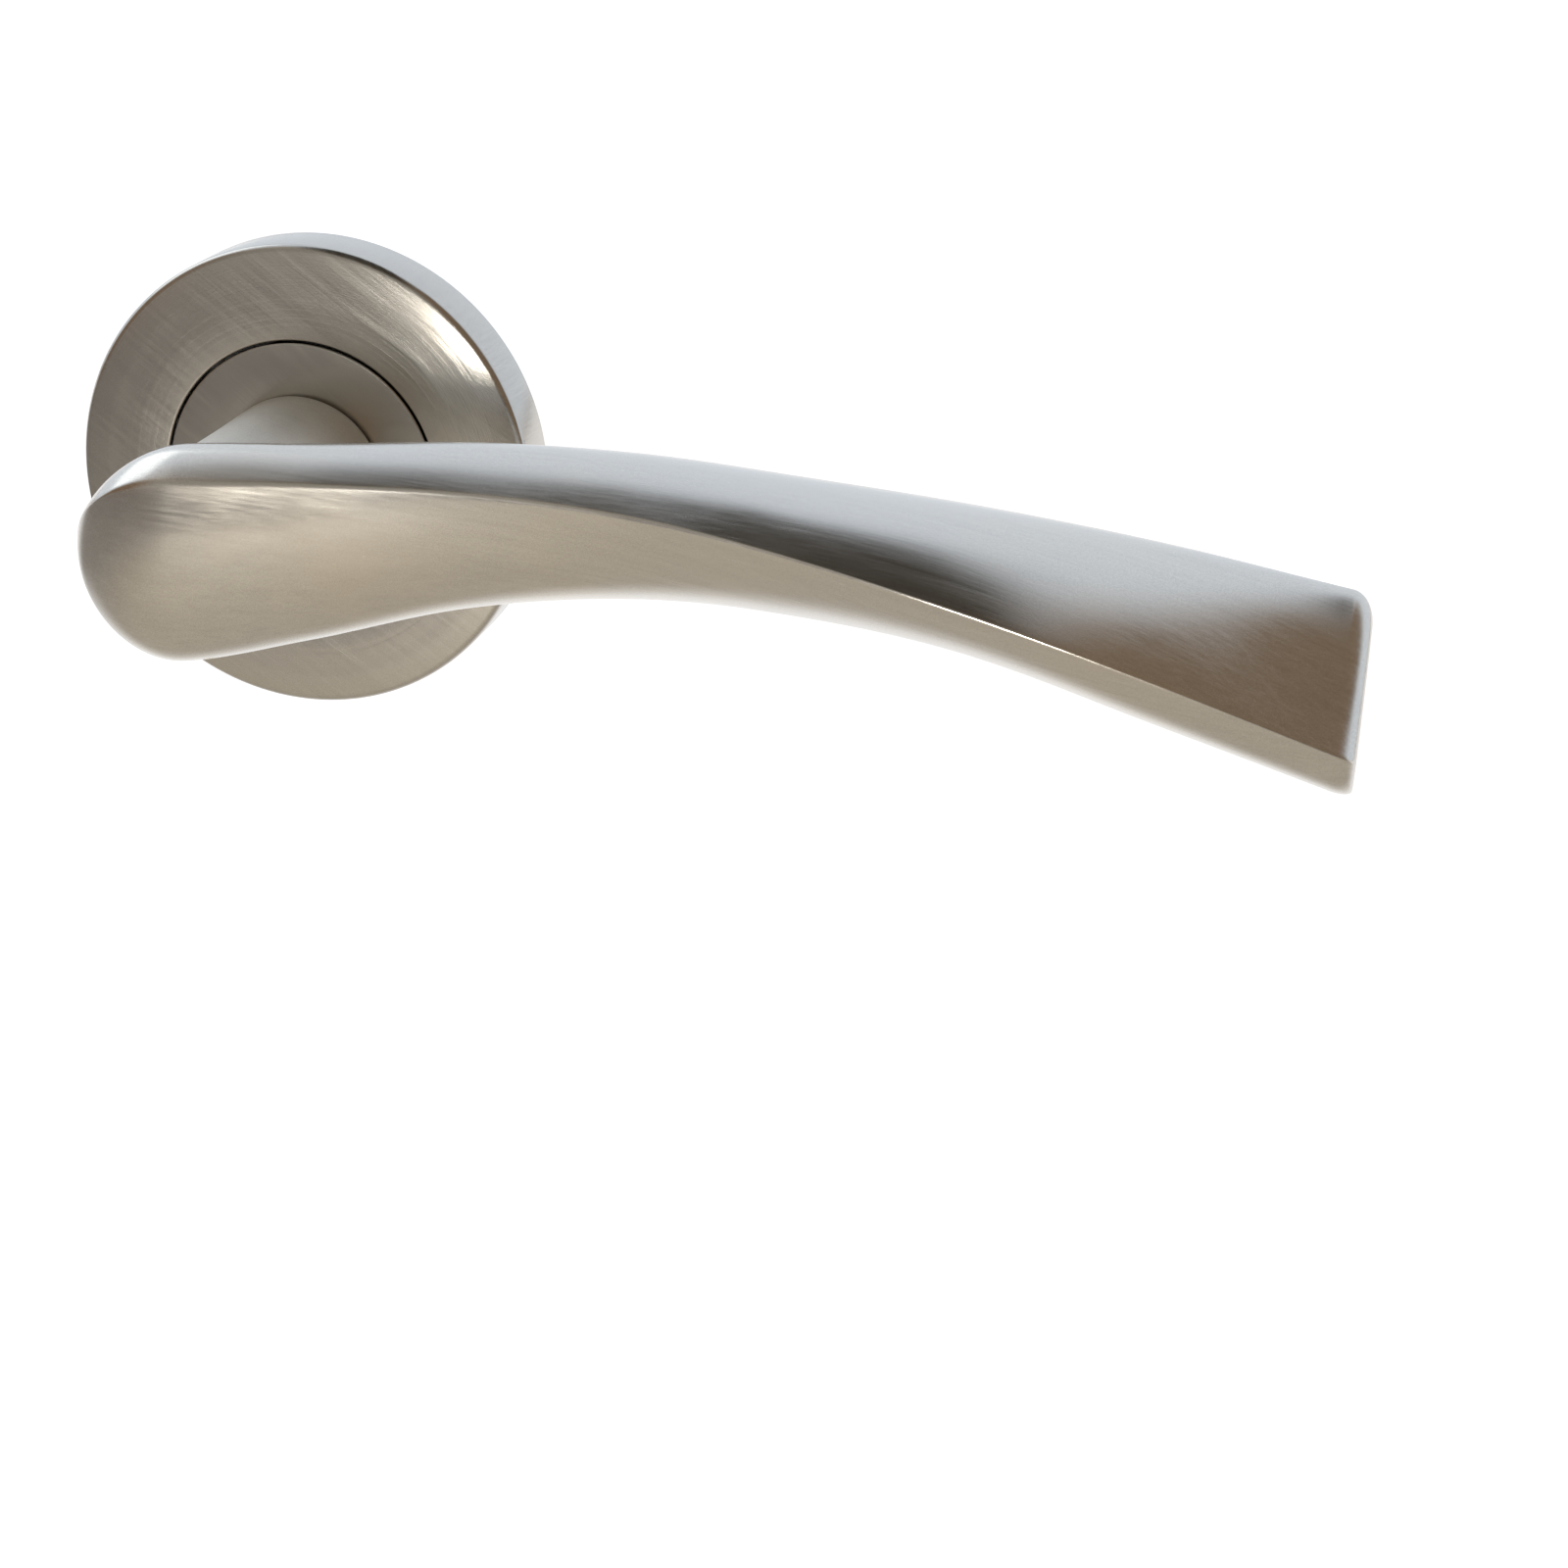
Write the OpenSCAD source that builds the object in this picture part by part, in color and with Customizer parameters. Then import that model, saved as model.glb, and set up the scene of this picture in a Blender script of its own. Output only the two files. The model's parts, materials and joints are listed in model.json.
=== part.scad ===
// Sprung lever handle on a round rose, one side of a door.
// Millimetres. Origin: centre of the rose's back face, on the spindle's axis.
// +X runs along the lever to its tip, -Y comes towards the user, +Z is up.

/* [Lever] */
// distance from the spindle's axis to the tip of the lever
lever_len = 119; // [95:1:150]
// how far the front of the lever stands off the door
lever_proj = 54; // [46:1:66]
// length of the rounded end past the spindle's axis
lever_heel = 10; // [9.8:0.1:12]
// neck diameter where it meets the rose
neck_d = 19.2; // [18:0.2:21]

/* [Rose] */
// outside diameter of the rose cover
rose_d = 52; // [50:0.5:66]
// thickness of the rose
rose_t = 8; // [7.2:0.1:11]
// sheet thickness of the rose cover
cover_wall = 0.8; // [0.6:0.1:1]
// diameter of the centre disc's opening in the cover
disc_d = 31.2; // [30:0.2:33]

/* [Drive] */
// side of the square spindle
spindle_a = 8; // [6.7:0.1:9.6]
// length of spindle behind the door face
spindle_out = 30; // [15:1:60]
// diameter of the turning journal inside the rose
journal_d = 16; // [15.6:0.1:16.6]
// turn of the lever from rest to its stop, in degrees
lever_turn = 45; // [30:1:50]

/* [Fixings] */
// centre distance of the two bolt-through lugs
lug_spacing = 38; // [37:0.5:39]
// outside diameter of a lug
lug_d = 7; // [6:0.1:7.4]
// depth of a lug behind the door face
lug_out = 8; // [5:0.5:12]
// centre distance of the two wood screws
screw_spacing = 38; // [36:0.5:39]
// length of a wood screw
screw_len = 20; // [14:1:30]

/* [Hidden] */
fit = 0.05;          // radial running clearance
gap = 0.3;           // clearance between turning and fixed faces
seat = 0.1;          // clearance round a square or a screw
$fn = 64;

// heights off the door face, one piece stacked on the next
clip_z = gap;
clip_t = 1;
wave_z = clip_z + clip_t;
wave_t = 0.6;
web_z = wave_z + wave_t + gap;
web_t = 1;
boss_z = web_z + web_t;
flange_t = 0.5;
cam_z = boss_z + flange_t + gap;
disc_z = rose_t - cover_wall;
cam_top = disc_z - flange_t - gap;
shoulder_z = rose_t + gap;
rim_t = 1.8;

// radii, from the journal outwards
journal_r = journal_d / 2;
neck_r = neck_d / 2;
bush_r = journal_r + fit;
rear_bush_r = bush_r + 0.55;
front_bush_r = bush_r + 0.95;
cam_r = journal_r + 2.6;
race_r = cam_r + 0.35;
hole_r = disc_d / 2;
disc_r = hole_r - 0.25;
cage_r = hole_r - 1;
cage_wall = 0.7;
coil_mid_r = (race_r + cage_r - cage_wall) / 2;
coil_r = (cage_r - cage_wall - race_r) / 2 - 0.15;
wire_r = 0.3;
coil_z = (boss_z + disc_z) / 2;
cover_in_r = rose_d / 2 - cover_wall;
rim_r = cover_in_r - 0.3;
grip_ring_r = 0.5;

// the cam's two arms, the cage's two walls and the stop pins, in degrees
arm_half = 9;
wall_half = 6;
wall_at = 90 + arm_half + 4 + wall_half;
pin_r = 0.75;
pin_at_r = journal_r + 2;
pin_half = asin(pin_r / pin_at_r);
notch_r = pin_at_r - pin_r - 0.3;
pin_play = 2;

lug_r = lug_d / 2;
lug_hole_r = 1.65;
lug_seat_r = lug_r + 0.2;
lug_flange_r = lug_seat_r + 0.5;
screw_r = 1.75;
screw_head_r = 3.4;
screw_head_t = 1.6;
spindle_in = lever_proj - 21;
socket_a = spindle_a + seat;
grub_r = 2.5;
stud_r = 3;
stud_top = lever_proj - 4.5;
grub_z = 20;

// ---- helpers ----

// the door's face as a drawing board: x to the tip, y up, z off the door
module board() rotate([90, 0, 0]) children();

module disc(r, z0, z1) translate([0, 0, z0]) cylinder(r = r, h = z1 - z0);

module ring(r1, r0, z0, z1) translate([0, 0, z0]) difference() {
    cylinder(r = r1, h = z1 - z0);
    translate([0, 0, -1]) cylinder(r = r0, h = z1 - z0 + 2);
}

module sector(r0, r1, a0, a1, z0, z1) translate([0, 0, z0]) rotate([0, 0, a0])
    rotate_extrude(angle = a1 - a0) translate([r0, 0]) square([r1 - r0, z1 - z0]);

module pair_x(d) for (s = [-1, 1]) translate([s * d / 2, 0, 0]) children();
module pair_y(d) for (s = [-1, 1]) translate([0, s * d / 2, 0]) children();
module both() for (a = [0, 180]) rotate([0, 0, a]) children();

function mix(a, b, t) = a + (b - a) * t;
function ease(t) = let(c = min(1, max(0, t))) c * c * (3 - 2 * c);
function spot(t, x, i = 0) = i >= len(t) - 2 || x < t[i + 1][0] ? i : spot(t, x, i + 1);
function rise(t, i, k) = let(a = max(0, i - 1), b = min(len(t) - 1, i + 1))
    (t[b][k] - t[a][k]) / (t[b][0] - t[a][0]);
// smooth curve through column k of a table whose first column is the station
function track(t, x, k) = let(i = spot(t, x), h = t[i + 1][0] - t[i][0],
    u = (x - t[i][0]) / h, v = 1 - u)
    t[i][k] * v * v * (1 + 2 * u) + t[i + 1][k] * u * u * (3 - 2 * u)
    + h * (rise(t, i, k) * u * v * v - rise(t, i + 1, k) * u * u * v);
function bez(a, b, c, d, t) = let(s = 1 - t)
    a * s * s * s + b * 3 * s * s * t + c * 3 * s * t * t + d * t * t * t;

// ---- the lever's shape ----

// Each row is one cross-section: station in percent of the lever's length, then the
// crease (depth behind the front, height), the top face's angle there and the height it
// is drawn towards, the back (depth, height), the underside (depth, height) and the
// front face's angle at the crease.
STATIONS = [
    [-12, 2.5, 10.8, 20, 11.5, 12.0, -0.5, 10.5, -10.0, 98],
    [  0, 2.5, 11.2, 45, 17.4, 12.5,  2.0, 10.0,  -9.6, 98],
    [ 12, 3.6, 12.4, 42, 18.2, 15.5,  3.5, 11.0,  -5.6, 94],
    [ 25, 4.6, 13.3, 40, 18.2, 21.0,  5.5, 13.0,  -0.7, 87],
    [ 38, 4.0, 13.5, 38, 17.0, 25.5,  6.5, 15.5,   2.0, 76],
    [ 50, 2.2, 12.7, 36, 15.6, 28.0,  7.0, 17.0,   2.8, 66],
    [ 67, 0.0,  9.8, 35, 16.3, 29.0,  6.0, 15.5,   2.2, 58],
    [ 84, 2.2,  4.3, 39, 17.2, 28.5,  4.5, 13.0,  -2.4, 52],
    [100, 8.5, -3.0, 45, 18.0, 25.0,  4.0, 15.5,  -8.5, 50]];
heel_z = 0.8;         // height of the rounded end's middle
tip_r = 2.2;          // rounding of the tip's edge
tip_slant = 0.04;     // how far the tip's face leans back, per mm of depth
n_top = 12;
n_back = 8;
n_front = 9;

// one section as [depth behind the front, height] pairs, from the crease round the back
function section(s) = let(
    c = [track(STATIONS, s, 1), track(STATIONS, s, 2)],
    at = track(STATIONS, s, 3), top = track(STATIONS, s, 4),
    k = [track(STATIONS, s, 5), track(STATIONS, s, 6)],
    b = [track(STATIONS, s, 7), track(STATIONS, s, 8)],
    af = track(STATIONS, s, 9),
    w = k[0] - c[0], h = c[1] - b[1],
    c1 = c + 0.42 * w * [cos(at), sin(at)],
    k1 = [k[0], top],
    k2 = [k[0], mix(k[1], b[1], 0.6)],
    b1 = [mix(b[0], k[0], 0.6), b[1]],
    b2 = [mix(b[0], c[0], 0.75), b[1]],
    c2 = c + 0.42 * h * [cos(af), -sin(af)])
    concat(
        [for (i = [0 : n_top - 1]) bez(c, c1, k1, k, i / n_top)],
        [for (i = [0 : n_back - 1]) bez(k, k2, b1, b, i / n_back)],
        [for (i = [0 : n_front - 1]) bez(b, b2, c2, c, i / n_front)]);

// stations along x in mm, closer together at the rounded ends
heel_x = 2;
n_heel = 12;
n_long = 30;
n_tip = 4;
heel_run = lever_heel + heel_x;
XS = concat(
    [for (i = [1 : n_heel]) heel_x - heel_run * cos(90 * i / n_heel)],
    [for (i = [1 : n_long]) mix(heel_x, lever_len - tip_r, i / n_long)],
    [for (i = [1 : n_tip]) lever_len - tip_r + tip_r * sin(90 * i / n_tip)]);

// how much a section is drawn in at the heel, and its edge's rounding at the tip
function heel_k(x) = x >= heel_x ? 1 : sqrt(max(0, 1 - pow((heel_x - x) / heel_run, 2)));
function tip_in(x) = let(t = x - lever_len + tip_r) t <= 0 ? 0 : tip_r - sqrt(max(0, tip_r * tip_r - t * t));

function station(x) = let(s = max(-12, 100 * x / lever_len), p = section(s), n = len(p),
    e = heel_k(x), g = tip_in(x),
    mid = [mix(track(STATIONS, s, 1), track(STATIONS, s, 5), 0.5),
        mix(track(STATIONS, s, 2), track(STATIONS, s, 8), 0.4)],
    half = norm([track(STATIONS, s, 5) - track(STATIONS, s, 1), 14]) / 2,
    lean = tip_slant * ease((x / lever_len - 0.72) / 0.28))
    [for (q = p) let(
        a = [mix(10, q[0], 0.1 + 0.9 * e), mix(heel_z, q[1], e)],
        f = a + (mid - a) * g / half)
        [x - lean * (f[0] - track(STATIONS, s, 1)), f[1], lever_proj - f[0]]];

module grip_body() {
    rows = [for (x = XS) station(x)];
    n = len(rows[0]);
    m = len(rows);
    pts = concat([for (r = rows) each r],
        [[-lever_heel, heel_z, lever_proj - 10],
         [for (j = [0 : 2]) (rows[m - 1][0][j] + rows[m - 1][n_top][j]
            + rows[m - 1][n_top + n_back][j]) / 3]]);
    polyhedron(points = pts, faces = concat(
        [for (i = [0 : m - 2], j = [0 : n - 1]) let(k = (j + 1) % n)
            [i * n + j, (i + 1) * n + k, (i + 1) * n + j]],
        [for (i = [0 : m - 2], j = [0 : n - 1]) let(k = (j + 1) % n)
            [i * n + j, i * n + k, (i + 1) * n + k]],
        [for (j = [0 : n - 1]) [m * n, (j + 1) % n, j]],
        [for (j = [0 : n - 1]) [m * n + 1, (m - 1) * n + j, (m - 1) * n + (j + 1) % n]]),
        convexity = 6);
}

// the neck from the shank to the back of the lever: an oval that grows and drifts
NECK = [[0, 0, 0, 0.994, 0.994], [45, 0, 0, 0.997, 0.997], [75, 0.3, 0.4, 1.04, 1.03], [100, 1.2, 1.6, 1.12, 1.08]];
flare_z = 12;
flare_top = lever_proj - 8.5;
n_flare = 16;
n_oval = 48;
module neck_flare() {
    rows = [for (i = [0 : n_flare]) let(s = 100 * i / n_flare)
        [for (j = [0 : n_oval - 1]) let(a = 360 * j / n_oval)
            [track(NECK, s, 1) + neck_r * track(NECK, s, 3) * cos(a),
             track(NECK, s, 2) + neck_r * track(NECK, s, 4) * sin(a),
             mix(flare_z - 1, flare_top, i / n_flare)]]];
    m = n_flare + 1;
    n = n_oval;
    polyhedron(points = [for (r = rows) each r], faces = concat(
        [for (i = [0 : m - 2], j = [0 : n - 1]) let(k = (j + 1) % n)
            [i * n + j, (i + 1) * n + k, i * n + k]],
        [for (i = [0 : m - 2], j = [0 : n - 1]) let(k = (j + 1) % n)
            [i * n + j, (i + 1) * n + j, (i + 1) * n + k]],
        [[for (j = [0 : n - 1]) j]],
        [[for (j = [0 : n - 1]) (m - 1) * n + n - 1 - j]]), convexity = 4);
}

// ---- fixed to the door ----

module rose_cover() color([0.66, 0.64, 0.6]) board() rotate_extrude() {
    r = rose_d / 2;
    e = 0.9;
    difference() {
        union() {
            square([r - e, rose_t]);
            square([r, rose_t - e]);
            translate([r - e, rose_t - e]) circle(r = e);
        }
        translate([-1, -1]) square([cover_in_r + 1, disc_z + 1]);
        translate([-1, -1]) square([hole_r + 1, rose_t + 2]);
        polygon([[hole_r - 1, rose_t + 1], [hole_r - 1, rose_t - 1.25], [hole_r + 1.25, rose_t + 1]]);
    }
}

module cover_grip_ring() color([0.15, 0.15, 0.16]) board() rotate_extrude()
    translate([cover_in_r - grip_ring_r, rim_t / 2]) circle(r = grip_ring_r - 0.01);

module inner_disc() color([0.63, 0.61, 0.57]) board() difference() {
    rotate_extrude() polygon([[front_bush_r, disc_z], [disc_r, disc_z], [disc_r, rose_t - 0.2],
        [disc_r - 0.2, rose_t], [front_bush_r, rose_t]]);
    both() rotate([0, 0, wall_at]) translate([coil_mid_r, 0, disc_z - 1]) cylinder(r = 0.8, h = 1.4);
}

module front_bush() color([0.85, 0.84, 0.8]) board() {
    ring(front_bush_r, bush_r, disc_z, rose_t);
    ring(cam_r - 0.2, bush_r, disc_z - flange_t, disc_z);
}

module rear_bush() color([0.85, 0.84, 0.8]) board() {
    ring(rear_bush_r, bush_r, web_z, boss_z);
    ring(notch_r + 0.15, bush_r, boss_z, boss_z + flange_t);
}

module mounting_plate() color([0.6, 0.61, 0.63]) board() difference() {
    union() {
        disc(rim_r, 0, rim_t);
        disc(cage_r, 0, boss_z);
    }
    disc(journal_r + 3.2, -1, web_z);
    disc(rear_bush_r, -1, boss_z + 1);
    translate([0, 0, rim_t / 2]) rotate_extrude()
        translate([cover_in_r - 2 * grip_ring_r, -grip_ring_r]) square([4, 2 * grip_ring_r]);
    pair_x(lug_spacing) disc(lug_seat_r, -1, rim_t + 1);
    pair_y(screw_spacing) {
        disc(screw_r + seat, -1, rim_t + 1);
        translate([0, 0, rim_t - screw_head_t]) cylinder(r1 = screw_r + seat, r2 = screw_head_r + seat, h = screw_head_t + 0.01);
    }
    both() {
        rotate([0, 0, wall_at]) translate([coil_mid_r, 0, 0]) {
            disc(0.8, -1, boss_z + 1);
            disc(1.3, -1, 0.6);
        }
        translate([pin_at_r, 0, 0]) disc(pin_r, web_z - 1, boss_z + 1);
    }
}

module threaded_lugs() color([0.72, 0.72, 0.74]) board() pair_x(lug_spacing) difference() {
    union() {
        disc(lug_r, -lug_out, 0);
        disc(lug_seat_r, 0, rim_t);
        disc(lug_flange_r, rim_t, rim_t + 1);
    }
    disc(lug_hole_r, -lug_out - 1, rim_t + 2);
}

module cassette_cage() color([0.55, 0.56, 0.58]) board() {
    difference() {
        union() {
            ring(cage_r, cage_r - cage_wall, boss_z, disc_z);
            both() sector(race_r, cage_r - cage_wall / 2, wall_at - wall_half, wall_at + wall_half, boss_z, disc_z);
        }
        both() rotate([0, 0, wall_at]) translate([coil_mid_r, 0, 0]) disc(0.8, boss_z - 1, disc_z + 1);
    }
}

module cage_rivets() color([0.75, 0.75, 0.76]) board() both()
    rotate([0, 0, wall_at]) translate([coil_mid_r, 0, 0]) {
        disc(0.8, 0.1, disc_z + 0.4);
        disc(1.3, 0.1, 0.6);
    }

module stop_pins() color([0.5, 0.5, 0.52]) board() both()
    translate([pin_at_r, 0, 0]) disc(pin_r, web_z, cam_top + 0.1);

// two compression springs bent round the journal, each between an arm and a wall
spring_a0 = wall_at + wall_half - 180 + 1.5;
spring_a1 = 90 - arm_half - 1.5;
n_turn = 13;
n_ring = 12;
n_wire = 6;
function coil_point(t) = let(a = mix(spring_a0, spring_a1, t), p = 360 * n_turn * t,
    r = coil_mid_r + (coil_r - wire_r) * cos(p)) [r * cos(a), r * sin(a), coil_z + (coil_r - wire_r) * sin(p)];
function unit(v) = v / norm(v);
module coil() {
    m = n_turn * n_ring + 1;
    n = n_wire;
    pts = [for (i = [0 : m - 1]) let(t = i / (m - 1), c = coil_point(t),
        d = unit(coil_point(t + 0.001) - coil_point(t - 0.001)),
        o = [cos(mix(spring_a0, spring_a1, t)) * coil_mid_r, sin(mix(spring_a0, spring_a1, t)) * coil_mid_r, coil_z],
        u = unit(c - o), w = unit(cross(d, u)), v = cross(w, d))
        for (j = [0 : n - 1]) c + wire_r * (v * cos(360 * j / n) + w * sin(360 * j / n))];
    polyhedron(points = pts, faces = concat(
        [for (i = [0 : m - 2], j = [0 : n - 1]) let(k = (j + 1) % n) [i * n + j, (i + 1) * n + k, i * n + k]],
        [for (i = [0 : m - 2], j = [0 : n - 1]) let(k = (j + 1) % n) [i * n + j, (i + 1) * n + j, (i + 1) * n + k]],
        [[for (j = [0 : n - 1]) j]], [[for (j = [0 : n - 1]) (m - 1) * n + n - 1 - j]]), convexity = 10);
}
module return_springs() color([0.7, 0.72, 0.75]) board() both() coil();

module wood_screws() color([0.78, 0.72, 0.5]) board() pair_y(screw_spacing) difference() {
    union() {
        translate([0, 0, rim_t - screw_head_t]) cylinder(r1 = screw_r, r2 = screw_head_r, h = screw_head_t);
        disc(screw_r, rim_t - screw_len + 4, rim_t - screw_head_t);
        translate([0, 0, rim_t - screw_len]) cylinder(r1 = 0.2, r2 = screw_r, h = 4);
    }
    for (a = [0, 90]) rotate([0, 0, a]) translate([-2, -0.4, rim_t - 1.1]) cube([4, 0.8, 2]);
}

// ---- turns with the lever ----

module cam_follower() color([0.62, 0.62, 0.64]) board() difference() {
    union() {
        disc(cam_r, cam_z, cam_top);
        both() sector(cam_r - 0.5, cage_r - cage_wall - gap, 90 - arm_half, 90 + arm_half, cam_z, cam_top);
    }
    disc(journal_r, cam_z - 1, cam_top + 1);
    both() sector(notch_r, cam_r + 1, -pin_half - pin_play, lever_turn + pin_half + pin_play, cam_z - 1, cam_top + 1);
}

module wave_washer() color([0.7, 0.71, 0.73]) board()
    ring(journal_r + 2, journal_r + 0.2, wave_z, wave_z + wave_t);

module circlip() color([0.3, 0.3, 0.32]) board() difference() {
    union() {
        ring(journal_r + 1.8, journal_r - 0.4, clip_z, clip_z + clip_t);
        for (s = [-1, 1]) translate([s * 2.6, journal_r + 0.9, clip_z]) cylinder(r = 1.5, h = clip_t);
    }
    translate([-1.4, journal_r - 3, clip_z - 1]) cube([2.8, 8, clip_t + 2]);
    for (s = [-1, 1]) translate([s * 2.6, journal_r + 1.1, clip_z - 1]) cylinder(r = 0.6, h = clip_t + 2);
    disc(journal_r - 0.4, clip_z - 1, clip_z + clip_t + 1);
}

module lever_neck() color([0.7, 0.69, 0.66]) board() difference() {
    union() {
        disc(journal_r, -0.9, shoulder_z);
        disc(neck_r, shoulder_z, flare_z);
        neck_flare();
    }
    ring(journal_r + 1, journal_r - 0.4, clip_z, clip_z + clip_t);
    disc(stud_r, spindle_in + 2, flare_top + 1);
    translate([-socket_a / 2, -socket_a / 2, -2]) cube([socket_a, socket_a, spindle_in + 2]);
    translate([0, 0, grub_z]) rotate([90, 0, 0]) cylinder(r = grub_r, h = neck_r + 2);
}

// the grip has a pocket that the neck's end is pressed into
module lever_grip() color([0.68, 0.67, 0.63]) board() difference() {
    grip_body();
    neck_flare();
    disc(stud_r, flare_top - 12, stud_top);
}

module joint_stud() color([0.7, 0.7, 0.72]) board() disc(stud_r, spindle_in + 2, stud_top);

module spindle() color([0.6, 0.6, 0.62]) board() translate([0, 0, -spindle_out]) {
    c = 0.6;
    h = spindle_out + spindle_in - 0.5;
    a = spindle_a / 2;
    intersection() {
        translate([-a, -a, 0]) cube([2 * a, 2 * a, h]);
        rotate_extrude() polygon([[0, 0], [a * 1.2, 0], [a * 1.5, 1.2], [a * 1.5, h - 1.2], [a * 1.2, h], [0, h]]);
    }
}

module grub_screw() color([0.25, 0.25, 0.27]) board() translate([0, -spindle_a / 2, grub_z]) rotate([90, 0, 0])
    difference() {
        cylinder(r = grub_r, h = neck_r - spindle_a / 2 - 0.6);
        translate([0, 0, 3]) cylinder(r = 1.45, h = 5, $fn = 6);
    }

rose_cover();
cover_grip_ring();
inner_disc();
front_bush();
rear_bush();
mounting_plate();
threaded_lugs();
cassette_cage();
cage_rivets();
stop_pins();
return_springs();
wood_screws();
cam_follower();
wave_washer();
circlip();
lever_neck();
lever_grip();
spindle();
grub_screw();
joint_stud();
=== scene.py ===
import json
import math

import bmesh
import bpy
from mathutils import Matrix, Vector

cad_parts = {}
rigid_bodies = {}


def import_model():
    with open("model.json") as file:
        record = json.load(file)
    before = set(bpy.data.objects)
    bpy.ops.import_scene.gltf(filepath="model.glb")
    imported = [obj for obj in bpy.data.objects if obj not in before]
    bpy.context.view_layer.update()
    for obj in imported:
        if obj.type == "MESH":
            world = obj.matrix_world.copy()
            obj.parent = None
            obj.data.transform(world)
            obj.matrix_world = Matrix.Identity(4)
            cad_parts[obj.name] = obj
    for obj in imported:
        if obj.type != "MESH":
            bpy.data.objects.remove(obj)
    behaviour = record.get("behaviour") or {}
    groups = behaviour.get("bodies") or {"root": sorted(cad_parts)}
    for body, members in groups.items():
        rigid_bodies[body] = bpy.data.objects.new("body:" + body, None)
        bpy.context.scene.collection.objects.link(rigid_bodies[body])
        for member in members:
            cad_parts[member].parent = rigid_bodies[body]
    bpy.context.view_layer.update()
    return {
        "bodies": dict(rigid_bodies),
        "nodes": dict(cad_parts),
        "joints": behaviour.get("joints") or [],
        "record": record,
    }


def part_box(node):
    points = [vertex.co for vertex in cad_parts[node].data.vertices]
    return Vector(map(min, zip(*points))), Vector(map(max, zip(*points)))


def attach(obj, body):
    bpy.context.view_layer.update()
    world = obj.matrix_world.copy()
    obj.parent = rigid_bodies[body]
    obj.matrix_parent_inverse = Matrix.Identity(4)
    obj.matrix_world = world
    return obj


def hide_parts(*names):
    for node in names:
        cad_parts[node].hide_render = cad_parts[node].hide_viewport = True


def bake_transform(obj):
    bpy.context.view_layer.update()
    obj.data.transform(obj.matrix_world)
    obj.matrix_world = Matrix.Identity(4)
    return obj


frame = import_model()

bl_info = {
    "name": "Sprung lever handle",
    "version": (1, 0, 0),
    "blender": (4, 5, 0),
    "location": "View3D > Sidebar > Lever handle",
    "description": "A twisted lever handle on a round sprung rose, piece by piece",
    "category": "Add Mesh",
}

MM = 0.001


def reach(node, axis, side):
    """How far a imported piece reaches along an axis, in millimetres."""
    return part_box(node)[side][axis] / MM


# ---------------------------------------------------------------- sizes and colours


class LeverSizes(bpy.types.PropertyGroup):
    length: bpy.props.FloatProperty(
        name="Length", description="Spindle's axis to the tip, in mm", default=119.0)
    projection: bpy.props.FloatProperty(
        name="Projection", description="Front of the lever off the door, in mm",
        default=round(-reach("lever_grip", 1, 0)))
    heel: bpy.props.FloatProperty(
        name="Heel", description="Rounded end past the spindle's axis, in mm",
        default=round(-reach("lever_grip", 0, 0)))
    tip_radius: bpy.props.FloatProperty(
        name="Tip rounding", description="Rounding of the tip's edge, in mm", default=2.2)
    tip_slant: bpy.props.FloatProperty(
        name="Tip slant", description="How far the tip leans back for each mm of depth",
        default=0.04)
    crease_radius: bpy.props.FloatProperty(
        name="Crease rounding", description="How far the crease is eased each way, in mm",
        default=0.4)
    neck_diameter: bpy.props.FloatProperty(
        name="Neck diameter", description="Neck where it meets the rose, in mm",
        default=19.2)
    journal_diameter: bpy.props.FloatProperty(
        name="Journal diameter", description="Turning part inside the rose, in mm",
        default=16.0)
    spindle_side: bpy.props.FloatProperty(
        name="Spindle side", description="Across the flats of the square spindle, in mm",
        default=round(2 * reach("spindle", 2, 1), 1))


class RoseSizes(bpy.types.PropertyGroup):
    diameter: bpy.props.FloatProperty(
        name="Diameter", description="Outside of the rose cover, in mm",
        default=round(2 * reach("rose_cover", 0, 1), 1))
    thickness: bpy.props.FloatProperty(
        name="Thickness", description="Front of the rose off the door, in mm",
        default=round(-reach("rose_cover", 1, 0), 1))
    wall: bpy.props.FloatProperty(
        name="Sheet", description="Sheet thickness of the cover, in mm", default=0.8)
    opening: bpy.props.FloatProperty(
        name="Opening", description="Diameter of the hole for the centre disc, in mm",
        default=31.2)
    edge: bpy.props.FloatProperty(
        name="Edge rounding", description="Radius of the cover's front edge, in mm",
        default=0.9)
    fixing_centres: bpy.props.FloatProperty(
        name="Fixing centres", description="Between two lugs or two screws, in mm",
        default=38.0)


class SpringSizes(bpy.types.PropertyGroup):
    turns: bpy.props.IntProperty(
        name="Turns", description="Turns of each bent spring", default=13, min=3)
    wire: bpy.props.FloatProperty(
        name="Wire", description="Diameter of the wire, in mm", default=0.6)
    coil: bpy.props.FloatProperty(
        name="Coil radius", description="Outside radius of a coil, in mm", default=1.325)
    middle: bpy.props.FloatProperty(
        name="Path radius", description="Radius of the path round the journal, in mm",
        default=12.425)


class Finish(bpy.types.PropertyGroup):
    nickel: bpy.props.FloatVectorProperty(
        name="Satin nickel", description="Colour of the brushed plating",
        subtype="COLOR", size=3, min=0.0, max=1.0, default=(0.62, 0.595, 0.55))
    nickel_roughness: bpy.props.FloatProperty(
        name="Satin roughness", description="How far the satin plating blurs a highlight",
        default=0.22, min=0.0, max=1.0, subtype="FACTOR")
    brushing: bpy.props.FloatProperty(
        name="Brushing", description="Strength of the brushed lines",
        default=1.0, min=0.0, max=2.0, subtype="FACTOR")


# ---------------------------------------------------------------- node expressions


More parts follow.
